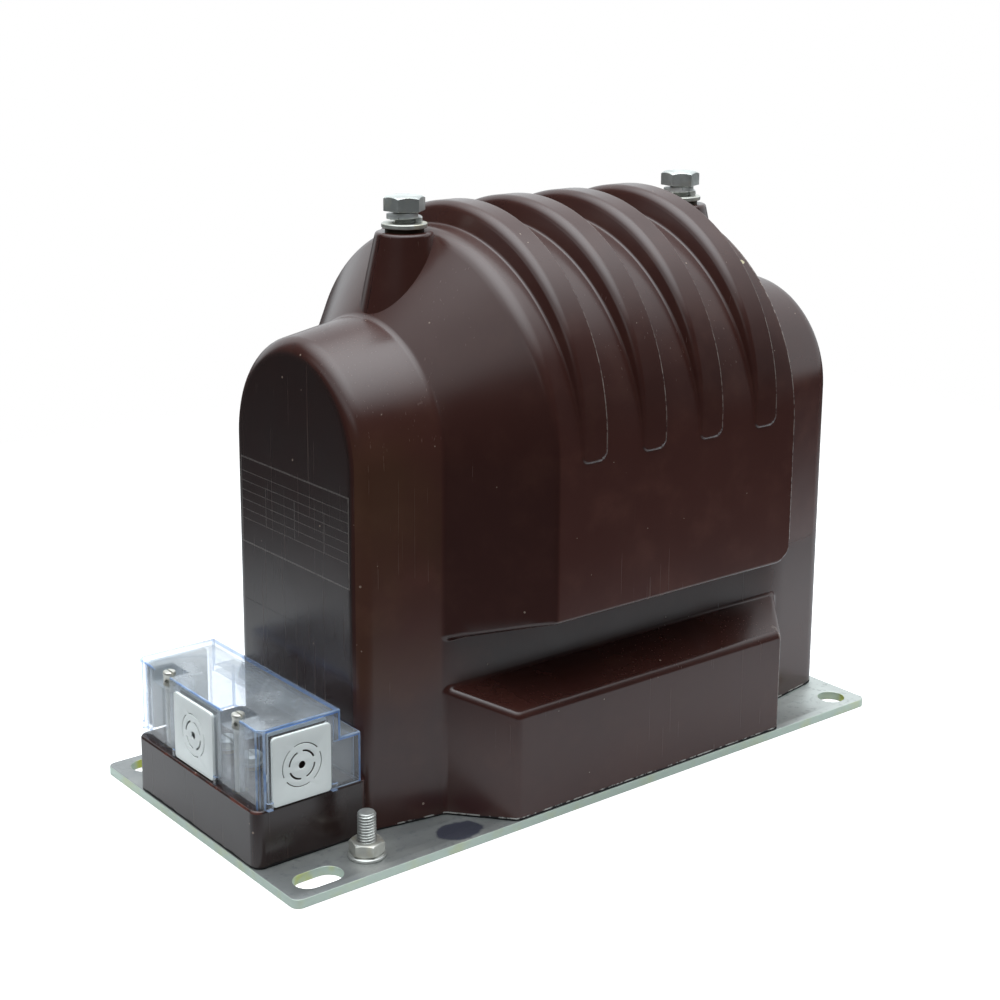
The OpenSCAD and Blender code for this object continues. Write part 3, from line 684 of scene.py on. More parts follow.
def f_ribs(x, y, z):
    zc = AZ + 9.5
    hr = np.where(z > zc, np.hypot(y, z - zc), np.abs(y)) - 91.45
    half = 6.5 - 0.376 * np.clip(hr, -12, 0)
    elev = np.clip((z - AZ) / 92.0, 0, 1)
    rl = 0.4 + 2.8 * elev
    db = RIB_END - z
    out = np.full(np.shape(x), 1e3)
    for xc in RIB_X:
        dl = ((xc - x) - half) * 0.936
        dr = ((x - xc) - half) * 0.936
        d = np.maximum(rmax(hr, rmax(dl, db, 3.0), rl), rmax(hr, rmax(dr, db, 4.5), 0.35))
        out = np.minimum(out, d)
    return out


def f_bosses(x, y, z):
    out = np.full(np.shape(x), 1e3)
    for xb in BOSS_X:
        r = 12.6 + 0.2225 * (248.8 - z)
        d = (np.hypot(x - xb, y) - r) * 0.976
        out = np.minimum(out, rmax(d, z - 248.8, 1.3))
    return out


def f_no_boss(x, y, z):
    b = rmin(f_casing(x, y, z), f_housing(x, y, z), 1.1)
    b = rmin(b, f_feet(x, y, z), 1.2)
    b = rmin(b, f_ribs(x, y, z), 0.8)
    return rmax(b, 4.0 - z, 0.55)


def f_body(x, y, z):
    b = f_no_boss(x, y, z)
    return np.where(z > 195, rmin(b, f_bosses(x, y, z), 0.8), b)


def f_grad(f, P, h=0.02):
    x, y, z = P[:, 0], P[:, 1], P[:, 2]
    gr = np.stack([f(x + h, y, z) - f(x - h, y, z),
                   f(x, y + h, z) - f(x, y - h, z),
                   f(x, y, z + h) - f(x, y, z - h)], 1)
    return gr / np.maximum(np.linalg.norm(gr, axis=1, keepdims=True), 1e-9)


def along(o, d, r0, r1, f, it=34):
    """Distance along rays at which f changes sign."""
    a = np.full(o.shape[:-1], float(r0))
    b = np.full(o.shape[:-1], float(r1)) if np.isscalar(r1) else r1.copy()
    for _ in range(it):
        m = (a + b) / 2
        p = o + d * m[..., None]
        inside = f(p[..., 0], p[..., 1], p[..., 2]) < 0
        a = np.where(inside, m, a)
        b = np.where(inside, b, m)
    return (a + b) / 2


def spread(length, left, right, big):
    """Fractions 0..1: given offsets in mm from both ends, filled up in equal steps no longer than big."""
    a = [0.0] + list(left)
    b = [length - v for v in reversed([0.0] + list(right))]
    n = max(1, int(math.ceil((b[0] - a[-1]) / big)))
    mid = [a[-1] + (b[0] - a[-1]) * k / n for k in range(1, n)]
    return np.array(a + mid + b) / length


# rows: (angle above the winding axis, or height below it)
angles = np.radians(np.concatenate([np.arange(90, 12, -1.9), np.arange(12, 6, -1.2), np.arange(6, 0, -0.35)]))
low = np.concatenate([[159.0], np.linspace(157, 100, 15)])


def z_rows(x):
    """Heights of the lower rows at one x: straight side, underside edge, recess wall, foot, base."""
    rh = np.clip(91.5 - 1.1406 * np.maximum(-45 - x, 0) - 1.1406 * np.maximum(x - 94, 0), 55, 91.5)
    rise = (8 - math.sqrt(max(64 - max(x - 86.5, 0) ** 2, 0))) if x < 94 else 8.0 * (1 - float(ss(94, 116, x)))
    ze = max(67.2 + 0.2936 * rh + rise, 83.35 + 2.2)
    zw = 83.35
    fy = np.clip(79.6 - (24.6 / 20.8) * max(-x - 55.7, 0) - (24.6 / 20.8) * max(x - 103.9, 0), 55, 79.6)
    zf = min(61.9 - 0.378 * (fy - 55), 61.9 - 2.2)
    out = []

    def seg(z0, z1, a, b, n):
        ln = abs(z1 - z0)
        s = min(1.0, ln / (max(a[-1] if a else 0, 0) + max(b[-1] if b else 0, 0) + 0.5))
        fr = [v * s for v in a]
        bk = sorted(ln - v * s for v in b)
        st, en = (fr[-1] if fr else 0.0), (bk[0] if bk else ln)
        mid = [st + (en - st) * k / n for k in range(1, n)]
        out.extend(z0 - v for v in fr + mid + bk)

    z_top = 100.0
    out.append(z_top)
    seg(z_top, ze, [], [2.2, 1.2, 0.6, 0.25], 2)
    out.append(ze)
    seg(ze, zw, [0.12, 0.3, 0.55, 0.9, 1.4], [0.9, 0.5, 0.25, 0.1], 6)
    out.append(zw)
    seg(zw, 61.9, [0.25, 0.6, 1.1, 1.8], [1.2, 0.7, 0.35], 6)
    out.append(61.9)
    seg(61.9, zf, [0.1, 0.25, 0.5, 0.9], [1.0, 0.7, 0.4, 0.18], 5)
    out.append(zf)
    seg(zf, 4.0, [0.3, 0.7, 1.2, 1.8, 2.6, 3.6], [0.04, 0.15, 0.3, 0.5, 0.9], 9)
    out.append(4.001)
    return np.array(out)


def build_body():
    # nominal break points along X, for the top row and for the lowest rows
    na = len(angles)
    low_n = len(z_rows(0.0)) + len(low) - 1
    nr = na + low_n
    alpha = np.concatenate([angles, np.zeros(low_n)])
    h = rib_height(alpha)
    half = 6.5 + 0.376 * h
    # nominal height of each row, for the shift of the corner columns
    zn = np.concatenate([AZ + HOUSE_R * np.sin(angles), low[:-1], z_rows(0.0)])
    lower = ss(80, 64, zn)
    p_house = house_edge(zn) * (1 - lower) + (-55.7) * lower
    p_right = 94.0 * (1 - lower) + 103.9 * lower
    p_l = -77.0 * (1 - lower) - 76.5 * lower - 1.3 * ss(165, 235, zn)
    p_r = 126.0 * (1 - lower) + 124.7 * lower
    cols = []
    phi = np.radians([88, 79, 69, 58, 47, 36, 26, 16, 7])
    for p in phi:
        cols.append(np.full(nr, -109 - 7 * math.sin(p)))
    brk = [np.full(nr, -109.0), p_l, p_house]
    segs = [spread(32, [2, 5], [0.25, 0.6, 1.0, 1.6, 2.6, 4.2], 4.5),
            spread(32, [0.25, 0.6, 1.0, 1.6, 2.6, 4.2], [0.3, 0.7, 1.2, 1.8, 2.6, 4.0], 4.0)]
    flank_l = np.array([0, 0.05, 0.12, 0.22, 0.34, 0.48, 0.62, 0.76, 0.88, 1.0])
    flank_r = np.array([0, 0.04, 0.09, 0.2, 0.45, 0.7, 0.85, 0.93, 1.0])
    crest = np.array([0, 0.35, 0.75, 1.25, 1.85, 2.5, 3.3, 4.6, 7.0, 9.6, 11.4, 12.25, 12.6, 12.82, 13.0]) / 13.0
    for i, xc in enumerate(RIB_X):
        ln = 12.0 if i == 0 else 13.5
        segs.append(spread(ln, [0.3, 0.7, 1.3, 2.2, 3.4] if i == 0 else [0.2, 0.45, 0.9, 1.6], [0.2, 0.45, 0.9, 1.6], 3.2))
        brk += [xc - half, np.full(nr, xc - 6.5), np.full(nr, xc + 6.5), xc + half]
        segs += [flank_l, crest, flank_r]
    brk += [p_right, p_r, np.full(nr, 158.0)]
    segs += [spread(9, [0.2, 0.45, 0.9, 1.6], [0.12, 0.3, 0.6, 1.1], 3.0),
             spread(32, [0.12, 0.3, 0.6, 1.1, 2.0, 3.5], [0.25, 0.6, 1.1, 2.0, 3.5], 5.0),
             spread(32, [0.25, 0.6, 1.2, 2.4], [2, 5], 5.0)]
    for k in range(len(segs)):
        for fr in segs[k][:-1]:
            cols.append(brk[k] * (1 - fr) + brk[k + 1] * fr)
    for p in phi[::-1]:
        cols.append(np.full(nr, 158 + 7 * math.sin(p)))
    cols.insert(0, cols.pop(0))
    X = np.array(cols)                      # column, row
    nc = X.shape[0]
    o = np.zeros((nc, nr, 3))
    d = np.zeros((nc, nr, 3))
    o[..., 0] = X
    o[:, :na, 2] = AZ
    d[:, :na, 1] = -np.cos(angles)
    d[:, :na, 2] = np.sin(angles)
    for i in range(nc):
        zz = np.concatenate([low[:-1], z_rows(float(np.clip(X[i, na + len(low) + 6], -116, 165)))])
        o[i, na:, 2] = zz
    # the lower rows follow the column's own place at that height
    for i in range(nc):
        top = z_rows(float(X[i, na + 2]))
        bot = z_rows(float(X[i, -1]))
        k = len(low) - 1
        half_way = 20
        o[i, na + k:na + k + half_way, 2] = top[:half_way]
        o[i, na + k + half_way:, 2] = bot[half_way:]
    d[:, na:, 1] = -1.0
    r = along(o, d, 12.0, 125.0, f_no_boss)
    P = o + d * r[..., None]
    # whole section: from the +Y foot over the top to the -Y foot
    Q = P[:, 1:][:, ::-1].copy()
    Q[..., 1] *= -1
    G = np.concatenate([Q, P], 1)
    G[:, nr - 1, 1] = 0.0
    nv = G.shape[1]
    V = [G.reshape(-1, 3)]
    idx = np.arange(nc * nv).reshape(nc, nv)
    a, b, c, e = idx[:-1, :-1], idx[1:, :-1], idx[1:, 1:], idx[:-1, 1:]
    quads = np.stack([a, e, c, b], -1).reshape(-1, 4)
    faces = [tuple(q) for q in quads]
    count = nc * nv
    # closed ends: rings that shrink to the middle line
    for col, sx, xx in ((0, -1, -116.0), (nc - 1, 1, 165.0)):
        prev = idx[col]
        src = G[col]
        cen = np.stack([np.full(nv, xx), np.zeros(nv), np.clip(src[:, 2], 4.0, AZ)], 1)
        for s in (0.985, 0.8, 0.5, 0.2, 0.0):
            pts = cen + (src - cen) * s
            pts[:, 0] = xx
            V.append(pts)
            cur = count + np.arange(nv)
            count += nv
            for k in range(nv - 1):
                q = (prev[k], prev[k + 1], cur[k + 1], cur[k])
                faces.append(q if sx > 0 else q[::-1])
            prev = cur
    # underside
    for i in range(nc - 1):
        faces.append((idx[i, 0], idx[i, -1], idx[i + 1, -1], idx[i + 1, 0]))
    return np.concatenate(V), faces


def clean_mesh(name, verts, faces):
    me = bpy.data.meshes.new(name)
    me.from_pydata([tuple(v) for v in verts * MM], [], [tuple(int(i) for i in f) for f in faces])
    bm = bmesh.new()
    bm.from_mesh(me)
    bmesh.ops.remove_doubles(bm, verts=bm.verts, dist=2e-6)
    bmesh.ops.dissolve_degenerate(bm, edges=bm.edges, dist=1e-7)
    bmesh.ops.recalc_face_normals(bm, faces=bm.faces)
    holes = [e for e in bm.edges if e.is_boundary]
    if holes:
        bmesh.ops.holes_fill(bm, edges=holes, sides=0)
        bmesh.ops.recalc_face_normals(bm, faces=bm.faces)
    bm.to_mesh(me)
    open_edges = sum(1 for e in bm.edges if not e.is_manifold)
    bm.free()
    print(name, "faces", len(me.polygons), "filled", len(holes), "open", open_edges)
    return new_object(name, me)


BLOCK_Y = 50.0


def f_block(x, y, z):
    a = rmax(np.abs(y) - BLOCK_Y, -167.5 - x, 4.9)
    return rmax(rmax(a, z - 29.3, 1.1), 4.06 - z, 0.45)


V, F = build_body()
body = clean_mesh("cast_body", V, F)
body.data.materials.append(RESIN)
m2 = bpy.data.materials.new("second")
m3 = bpy.data.materials.new("third")
block = rounded_box("block", (-167.5, -BLOCK_Y, 4.06), (-112.2, BLOCK_Y, 29.3), 4.9, 1.1, 9, 4, 0.45)
block.data.materials.append(m2)
tools = [block]
for xb in BOSS_X:
    prof = [(0, 205.0)] + [(12.6 + 0.2225 * (248.8 - z), z) for z in np.linspace(205, 246.9, 14)]
    prof += [(12.6 + 0.29 - 1.3 * (1 - math.cos(t)), 247.5 + 1.3 * math.sin(t)) for t in np.radians([0, 18, 36, 54, 72, 90])]
    prof += [(10.0, 248.8), (0, 248.8)]
    o = lathe("boss", prof, 96, (xb, 0, 0))
    o.data.materials.append(m3)
    tools.append(o)
for o in tools:
    b = body.modifiers.new("b", "BOOLEAN")
    b.object = o
    b.operation = "UNION"
    b.solver = "EXACT"
    b.material_mode = "TRANSFER"
apply_modifiers(body)
drop(*tools)

me = body.data
slots = [m.name if m else "" for m in me.materials]
sec = slots.index("second") if "second" in slots else -1
third = slots.index("third") if "third" in slots else -1
co = np.zeros(len(me.vertices) * 3)
me.vertices.foreach_get("co", co)
co = co.reshape(-1, 3) / MM
NB = f_grad(f_no_boss, co)
NK = f_grad(f_block, co)
NT = f_grad(f_bosses, co)
mi = np.zeros(len(me.polygons), int)
me.polygons.foreach_get("material_index", mi)
pn = np.zeros(len(me.polygons) * 3)
me.polygons.foreach_get("normal", pn)
pn = pn.reshape(-1, 3)
ls = np.zeros(len(me.polygons), int)
lt = np.zeros(len(me.polygons), int)
me.polygons.foreach_get("loop_start", ls)
me.polygons.foreach_get("loop_total", lt)
lv = np.zeros(len(me.loops), int)
me.loops.foreach_get("vertex_index", lv)
owner = np.repeat(np.arange(len(ls)), lt)
LN = np.where((mi[owner] == sec)[:, None], NK[lv], NB[lv])
LN = np.where((mi[owner] == third)[:, None], NT[lv], LN)
face_n = pn[owner]
off = (LN * face_n).sum(1) < 0.35
LN[off] = face_n[off]
me.shade_smooth()
me.normals_split_custom_set([tuple(v) for v in LN])
# sharp mould edges carry a thin light line, mould flash and a painted highlight
hh = 0.35
x, y, z = co.T
lap = (f_body(x + hh, y, z) + f_body(x - hh, y, z) + f_body(x, y + hh, z) + f_body(x, y - hh, z)
       + f_body(x, y, z + hh) + f_body(x, y, z - hh) - 6 * f_body(x, y, z)) / hh ** 2
flash_and_highlight = np.zeros(len(co))
for xc in RIB_X:
    flash_and_highlight = np.maximum(flash_and_highlight, (np.abs(x - xc - 6.5) < 0.5) * (lap > 0.35) * (0.25 + 0.75 * ss(235, 185, z)) * (z > RIB_END))
flash_and_highlight = np.maximum(flash_and_highlight, (np.abs(x - 94) < 0.7) * (lap > 0.35) * 1.0 * (z > 80))
flash_and_highlight = np.maximum(flash_and_highlight, (np.abs(x - 103.9) < 0.8) * (lap > 0.35) * 0.8 * (z < 55))
att = me.attributes.new("flash_and_highlight", "FLOAT", "POINT")
att.data.foreach_set("value", flash_and_highlight.astype(np.float32))
me.polygons.foreach_set("material_index", np.zeros(len(me.polygons), np.int32))
me.materials.clear()
me.materials.append(RESIN)
bpy.data.materials.remove(m2)
bpy.data.materials.remove(m3)
ride(body, ["resin_body"])


# ---------------------------------------------------------------- base plate

def slot_loop(cx, cy, length, width, n=14):
    k = (length - width) / 2
    return arc2(cx + k, cy, width / 2, -90, 90, n) + arc2(cx - k, cy, width / 2, 90, 270, n)


loops = [round_rect2(-168, -80, 168, 80, 4.0, 8)]
for s in (-1, 1):
    loops.append(slot_loop(-150, s * 68.4, 22, 13))
    loops.append(arc2(155, s * 68.4, 6.5, 0, 360, 40)[:-1])
for sx in (-1, 1):
    for sy in (-1, 1):
        loops.append(arc2(24.5 + sx * 54.5, sy * 52, 8.0, 0, 360, 32)[:-1])
loops.append(arc2(-124, -65, 5.2, 0, 360, 24)[:-1])
plate = outline_solid("steel_plate", loops, 4.0, Matrix.Translation((0, 0, 0.002)), 0.35, 2)
smooth_by_angle(plate, 40)
pm = plate.data
pc = np.zeros(len(pm.vertices) * 3)
pm.vertices.foreach_get("co", pc)
pc = pc.reshape(-1, 3) / MM
vals = np.zeros(len(pm.polygons), np.float32)
for i, poly in enumerate(pm.polygons):
    c = poly.center / MM
    if abs(poly.normal.z) < 0.9:
        vals[i] = 1.0 if (abs(c.x) > 163.5 or abs(c.y) > 79.3) else 2.0
att = pm.attributes.new("cut", "FLOAT", "FACE")
att.data.foreach_set("value", vals)
paint(plate, PLATE)
ride(plate, ["base_plate"])


# ---------------------------------------------------------------- fasteners

def hexagon(name, af, z0, z1, at, rot, hole=0.0, both=False, n_side=10):
    """Hexagon head or nut with turned chamfers, the flats of width af."""
    n = 6 * n_side
    verts, faces = [], []
    ang = np.arange(n) * 2 * np.pi / n
    local = (ang + np.pi / 6) % (np.pi / 3) - np.pi / 6
    rr = af / 2 / np.cos(local)
    r0 = af / 2 * 0.955
    drop_z = np.maximum(rr - r0, 0) * math.tan(math.radians(30))
    a = ang + math.radians(rot)
    levels = []
    top_in = hole + 0.5 if hole else 0.0
    if hole:
        levels.append((np.full(n, hole), np.full(n, z1 - 0.5)))
        levels.append((np.full(n, top_in), np.full(n, z1)))
    else:
        levels.append((np.full(n, 0.0), np.full(n, z1 - 0.05)))
        levels.append((np.full(n, r0 * 0.5), np.full(n, z1 - 0.03)))
        levels.append((np.full(n, r0 * 0.86), np.full(n, z1)))
    levels.append((np.full(n, r0 - 0.12), np.full(n, z1)))
    levels.append((np.full(n, r0 + 0.02), np.full(n, z1 - 0.03)))
    levels.append((rr - 0.12, z1 - drop_z + 0.06))
    levels.append((rr, z1 - drop_z - 0.10))
    if both:
        levels.append((rr, z0 + drop_z + 0.10))
        levels.append((rr - 0.12, z0 + drop_z - 0.06))
        levels.append((np.full(n, r0), np.full(n, z0)))
    else:
        levels.append((rr, np.full(n, z0 + 0.15)))
        levels.append((rr - 0.15, np.full(n, z0)))
    levels.append((np.full(n, hole if hole else 0.0), np.full(n, z0)))
    m = len(levels)
    for r, zz in levels:
        for k in range(n):
            verts.append((at[0] + r[k] * math.cos(a[k]), at[1] + r[k] * math.sin(a[k]), zz[k]))
    pairs = list(zip(range(m - 1), range(1, m)))
    if hole:
        pairs.append((m - 1, 0))
    for p, q in pairs:
        for k in range(n):
            j = (k + 1) % n
            faces.append((p * n + k, q * n + k, q * n + j, p * n + j))
    me = bpy.data.meshes.new(name)
    me.from_pydata([tuple(np.array(v) * MM) for v in verts], [], faces)
    bm = bmesh.new()
    bm.from_mesh(me)
    bmesh.ops.remove_doubles(bm, verts=bm.verts, dist=1e-7)
    bmesh.ops.recalc_face_normals(bm, faces=bm.faces)
    bm.to_mesh(me)
    bm.free()
    return smooth_by_angle(new_object(name, me), 24)


def threaded(name, r, pitch, z0, z1, at, chamfer=0.8, per=8, n=40, low_chamfer=False):
    depth = 0.58 * pitch
    zz = np.arange(z0, z1 + 1e-6, pitch / per)
    if zz[-1] < z1 - 1e-6:
        zz = np.append(zz, z1)
    a = np.arange(n) * 2 * np.pi / n
    verts = []
    for z in zz:
        ph = (z / pitch - a / (2 * np.pi)) % 1.0
        tri = np.abs(ph - 0.5) * 2
        prof = np.clip((tri - 0.12) / 0.72, 0, 1)
        rad = r - depth * (1 - prof)
        rad = np.minimum(rad, r - max(0.0, chamfer - (z1 - z)) * 0.9)
        if low_chamfer:
            rad = np.minimum(rad, r - max(0.0, chamfer - (z - z0)) * 0.9)
        verts += [(at[0] + q * math.cos(t), at[1] + q * math.sin(t), z) for q, t in zip(rad, a)]
    m = len(zz)
    faces = [(k * n + i, k * n + (i + 1) % n, (k + 1) * n + (i + 1) % n, (k + 1) * n + i)
             for k in range(m - 1) for i in range(n)]
    verts.append((at[0], at[1], z0))
    verts.append((at[0], at[1], z1 + 0.0))
    b0, t0 = len(verts) - 2, len(verts) - 1
    faces += [(b0, (i + 1) % n, i) for i in range(n)]
    faces += [(t0, (m - 1) * n + i, (m - 1) * n + (i + 1) % n) for i in range(n)]
    return smooth_by_angle(mesh_object(name, verts, faces), 50)


def split_washer(name, r0, r1, th, rise, start, turn, z, at, n=110):
    c = 0.28
    sec = [(r0 + c, 0), (r1 - c, 0), (r1, c), (r1, th - c), (r1 - c, th), (r0 + c, th), (r0, th - c), (r0, c)]
    m = len(sec)
    verts = []
    for i in range(n + 1):
        t = math.radians(start + turn * i / n)
        for r, zz in sec:
            verts.append((at[0] + r * math.cos(t), at[1] + r * math.sin(t), z + rise * i / n + zz))
    faces = [(i * m + k, i * m + (k + 1) % m, (i + 1) * m + (k + 1) % m, (i + 1) * m + k)
             for i in range(n) for k in range(m)]
    faces.append(tuple(range(m))[::-1])
    faces.append(tuple(n * m + k for k in range(m)))
    o = mesh_object(name, verts, faces)
    bm = bmesh.new()
    bm.from_mesh(o.data)
    bmesh.ops.recalc_face_normals(bm, faces=bm.faces)
    bm.to_mesh(o.data)
    bm.free()
    return smooth_by_angle(o, 30)


heads, springs, flats = [], [], []
for xb, rot in ((BOSS_X[0], 7), (BOSS_X[1], -8)):
    heads.append(hexagon("head", 16.0, 257.8, 264.2, (xb, 0), rot))
    heads.append(threaded("shank", 4.92, 1.5, 239.5, 258.0, (xb, 0), 0.8, 8, 40, True))
    springs.append(split_washer("spring", 5.15, 7.75, 2.5, 2.6, -58, 342, 252.6, (xb, 0)))
    c = 0.3
    flats.append(ring("flat", [(5.25, 250.6 + c), (5.25 + c, 250.6), (10 - c, 250.6), (10, 250.6 + c),
                               (10, 252.6 - c), (10 - c, 252.6), (5.25 + c, 252.6), (5.25, 252.6 - c)], 96, (xb, 0, 0)))
o = join("line_bolts", heads)
smooth_by_angle(o, 30)
ride(paint(o, BRIGHT), ["hv_terminal_bolts"])
o = join("line_spring_washers", springs)
smooth_by_angle(o, 30)
ride(paint(o, SPRING), ["hv_spring_washers"])
o = join("line_flat_washers", flats)
smooth_by_angle(o, 30)
ride(paint(o, WASHER), ["hv_flat_washers"])

sx_, sy_ = -124.0, -65.0
stud = threaded("stud_thread", 3.95, 1.25, 4.2, 23.5, (sx_, sy_), 0.8, 10, 48)
foot = lathe("stud_foot", [(0, 0.05), (7.2, 0.05), (7.4, 0.3), (5.2, 2.5), (4.0, 3.9), (3.6, 4.4), (0, 4.4)], 48, (sx_, sy_, 0))
o = join("earth_stud_thread", [stud, foot])
smooth_by_angle(o, 45)
ride(paint(o, STUD), ["earth_stud"])
o = hexagon("earth_hex_nut", 13.0, 5.6, 11.1, (sx_, sy_), 17 + 30, 3.75, True)
ride(paint(o, NUT), ["earth_nut"])
c = 0.35
o = ring("earth_flat_washer", [(4.2, 4 + c), (4.2 + c, 4), (8 - c, 4), (8, 4 + c), (8, 5.6 - c), (8 - c, 5.6),
                               (4.2 + c, 5.6), (4.2, 5.6 - c)], 80, (sx_, sy_, 0))
smooth_by_angle(o, 30)
ride(paint(o, STUD), ["earth_washer"])


# ---------------------------------------------------------------- clear terminal cover

CZ0, CZ1, CZL = 29.3, 63.6, 51.3
CX0, CX1, CX2 = -165.0, -126.0, -116.2
CY, CM = 51.2, 1.4
YL, YH = CM - CY, CM + CY
W = 2.0
PCX = CX0 + 19.4
SY = 28.8
PW_END, PW_SIDE = 32.0, 28.0


def cover_prism(name, inn, z0, z1, x1, edge):
    """Upright prism of the cover's plan with its two cut corners."""
    c = 2.6 - 0.586 * inn
    pts = [(CX0 + inn, YL + inn + c), (CX0 + inn + c, YL + inn), (x1 - inn, YL + inn), (x1 - inn, YH - inn),
           (CX0 + inn + c, YH - inn), (CX0 + inn, YH - inn - c)]
    bm = bmesh.new()
    vs = [bm.verts.new((p[0] * MM, p[1] * MM, z0 * MM)) for p in pts]
    f = bm.faces.new(vs)
    r = bmesh.ops.extrude_face_region(bm, geom=[f])
    for v in r["geom"]:
        if isinstance(v, bmesh.types.BMVert):
            v.co.z = z1 * MM
    bmesh.ops.recalc_face_normals(bm, faces=bm.faces)
    if edge:
        es = [e for e in bm.edges if not all(abs(v.co.z - z0 * MM) < 1e-7 for v in e.verts)]
        bmesh.ops.bevel(bm, geom=es, offset=edge * MM, segments=2, profile=0.5, affect="EDGES")
    return bm_object(name, bm)


outer = cover_prism("cover_shell", 0, CZ0, CZ1, CX1, 0.55)
boolean(outer, [cover_prism("co2", 0, CZ0, CZL, CX2, 0.55)], "UNION")
inner = cover_prism("ci", W, CZ0 - 3, CZ1 - W, CX1, 0.4)
boolean(inner, [cover_prism("ci2", W, CZ0 - 3, CZL - W, CX2, 0.4)], "UNION")
boolean(outer, [inner])
adds = []
for s in (-1, 1):
    yc = CM + s * SY
    adds.append(rounded_box("pk", (CX0 + 0.5, yc - 9.3, 55.2), (CX0 + 11.3, yc + 9.3, CZ1 - 1.0), 0.5, 0, 1))
    adds.append(lathe("col", [(0, CZ0), (3.95, CZ0), (3.95, 56.0), (0, 56.0)], 40, (-161.0, yc, 0)))
boolean(outer, adds, "UNION")
cuts = []
for s in (-1, 1):
    yc = CM + s * SY
    cuts.append(rounded_box("pc", (-171, yc - 7.5, 57.2), (-155.5, yc + 7.5, 75), 0.6, 0, 2))
    cuts.append(lathe("pw", [(0, 20), (2.2, 20), (2.2, 58.5), (0, 58.5)], 28, (-161.0, yc, 0)))
cuts.append(rounded_box("w0", (CX0 - 1, CM - PW_END / 2 + 2, 20), (CX0 + W + 1, CM + PW_END / 2 - 2, 57.5), 0, 0))
for s in (-1, 1):
    y0, y1 = sorted((CM + s * (CY - 3.0), CM + s * (CY + 1.0)))
    cuts.append(rounded_box("w1", (PCX - PW_SIDE / 2 + 2, y0, 20), (PCX + PW_SIDE / 2 - 2, y1, 57.5), 0, 0))
boolean(outer, cuts)
# guide ribs beside the openings on the inside, and small feet at their lower corners on the outside
ribs = []
for s in (-1, 1):
    k = PW_END / 2 + 0.9
    ribs.append(rounded_box("g0", (CX0 + W - 0.2, CM + s * k - 0.7, CZ0), (CX0 + W + 2.4, CM + s * k + 0.7, 60.9), 0.25, 0, 1))
    ribs.append(rounded_box("n0", (CX0 - 1.5, CM + s * (k + 0.3) - 1.1, CZ0), (CX0 + 0.3, CM + s * (k + 0.3) + 1.1, 32.8), 0.3, 0.3, 1, 1))
for sy in (-1, 1):
    for s in (-1, 1):
        k = PW_SIDE / 2 + 0.9
        yw = CM + sy * (CY - W)
        y0, y1 = sorted((yw + sy * 0.2, yw - sy * 2.4))
        ribs.append(rounded_box("g1", (PCX + s * k - 0.7, y0, CZ0), (PCX + s * k + 0.7, y1, 60.9), 0.25, 0, 1))
        yo = CM + sy * CY
        y0, y1 = sorted((yo - sy * 0.3, yo + sy * 2.0))
        ribs.append(rounded_box("n1", (PCX + s * (k + 0.5) - 1.4, y0, CZ0), (PCX + s * (k + 0.5) + 1.4, y1, 32.8), 0.3, 0.3, 1, 1))
boolean(outer, ribs, "UNION")
outer.data.materials.clear()
for m in (CLEAR, EDGE, CLEAR_COL, CLEAR_TOP):
    outer.data.materials.append(m)
me = outer.data
for poly in me.polygons:
    c = poly.center / MM
    n = poly.normal
    k = 0
    axis = max(abs(n.x), abs(n.y), abs(n.z))
    diag = abs(abs(n.x) - abs(n.y)) < 0.05 and abs(n.z) < 0.1
    if axis < 0.985 and not diag and poly.area < 4e-4:
        k = 1
    if abs(c.z - CZ0) < 0.02 and n.z < -0.5:
        k = 1
    on_outer = (abs(c.x - CX0) < 0.02 or abs(abs(c.y - CM) - CY) < 0.02 or abs(c.z - CZ1) < 0.02)
    near_col = min(abs(c.y - CM - SY), abs(c.y - CM + SY)) < 9.4 and -166 < c.x < -153.2 and not on_outer
    if near_col:
        k = 2
    if n.z > 0.985 and (abs(c.z - CZ1) < 0.02 or abs(c.z - CZL) < 0.02):
        k = 3
    poly.material_index = k
smooth_by_angle(outer, 32)
outer.name = "clear_cover"
ride(outer, ["terminal_cover"])


# ---------------------------------------------------------------- cable entry panels

def arc_slot(r0, r1, a0, a1, n=12):
    return arc2(0, 0, r1, a0, a1, n) + arc2(0, 0, r0, a1, a0, n)


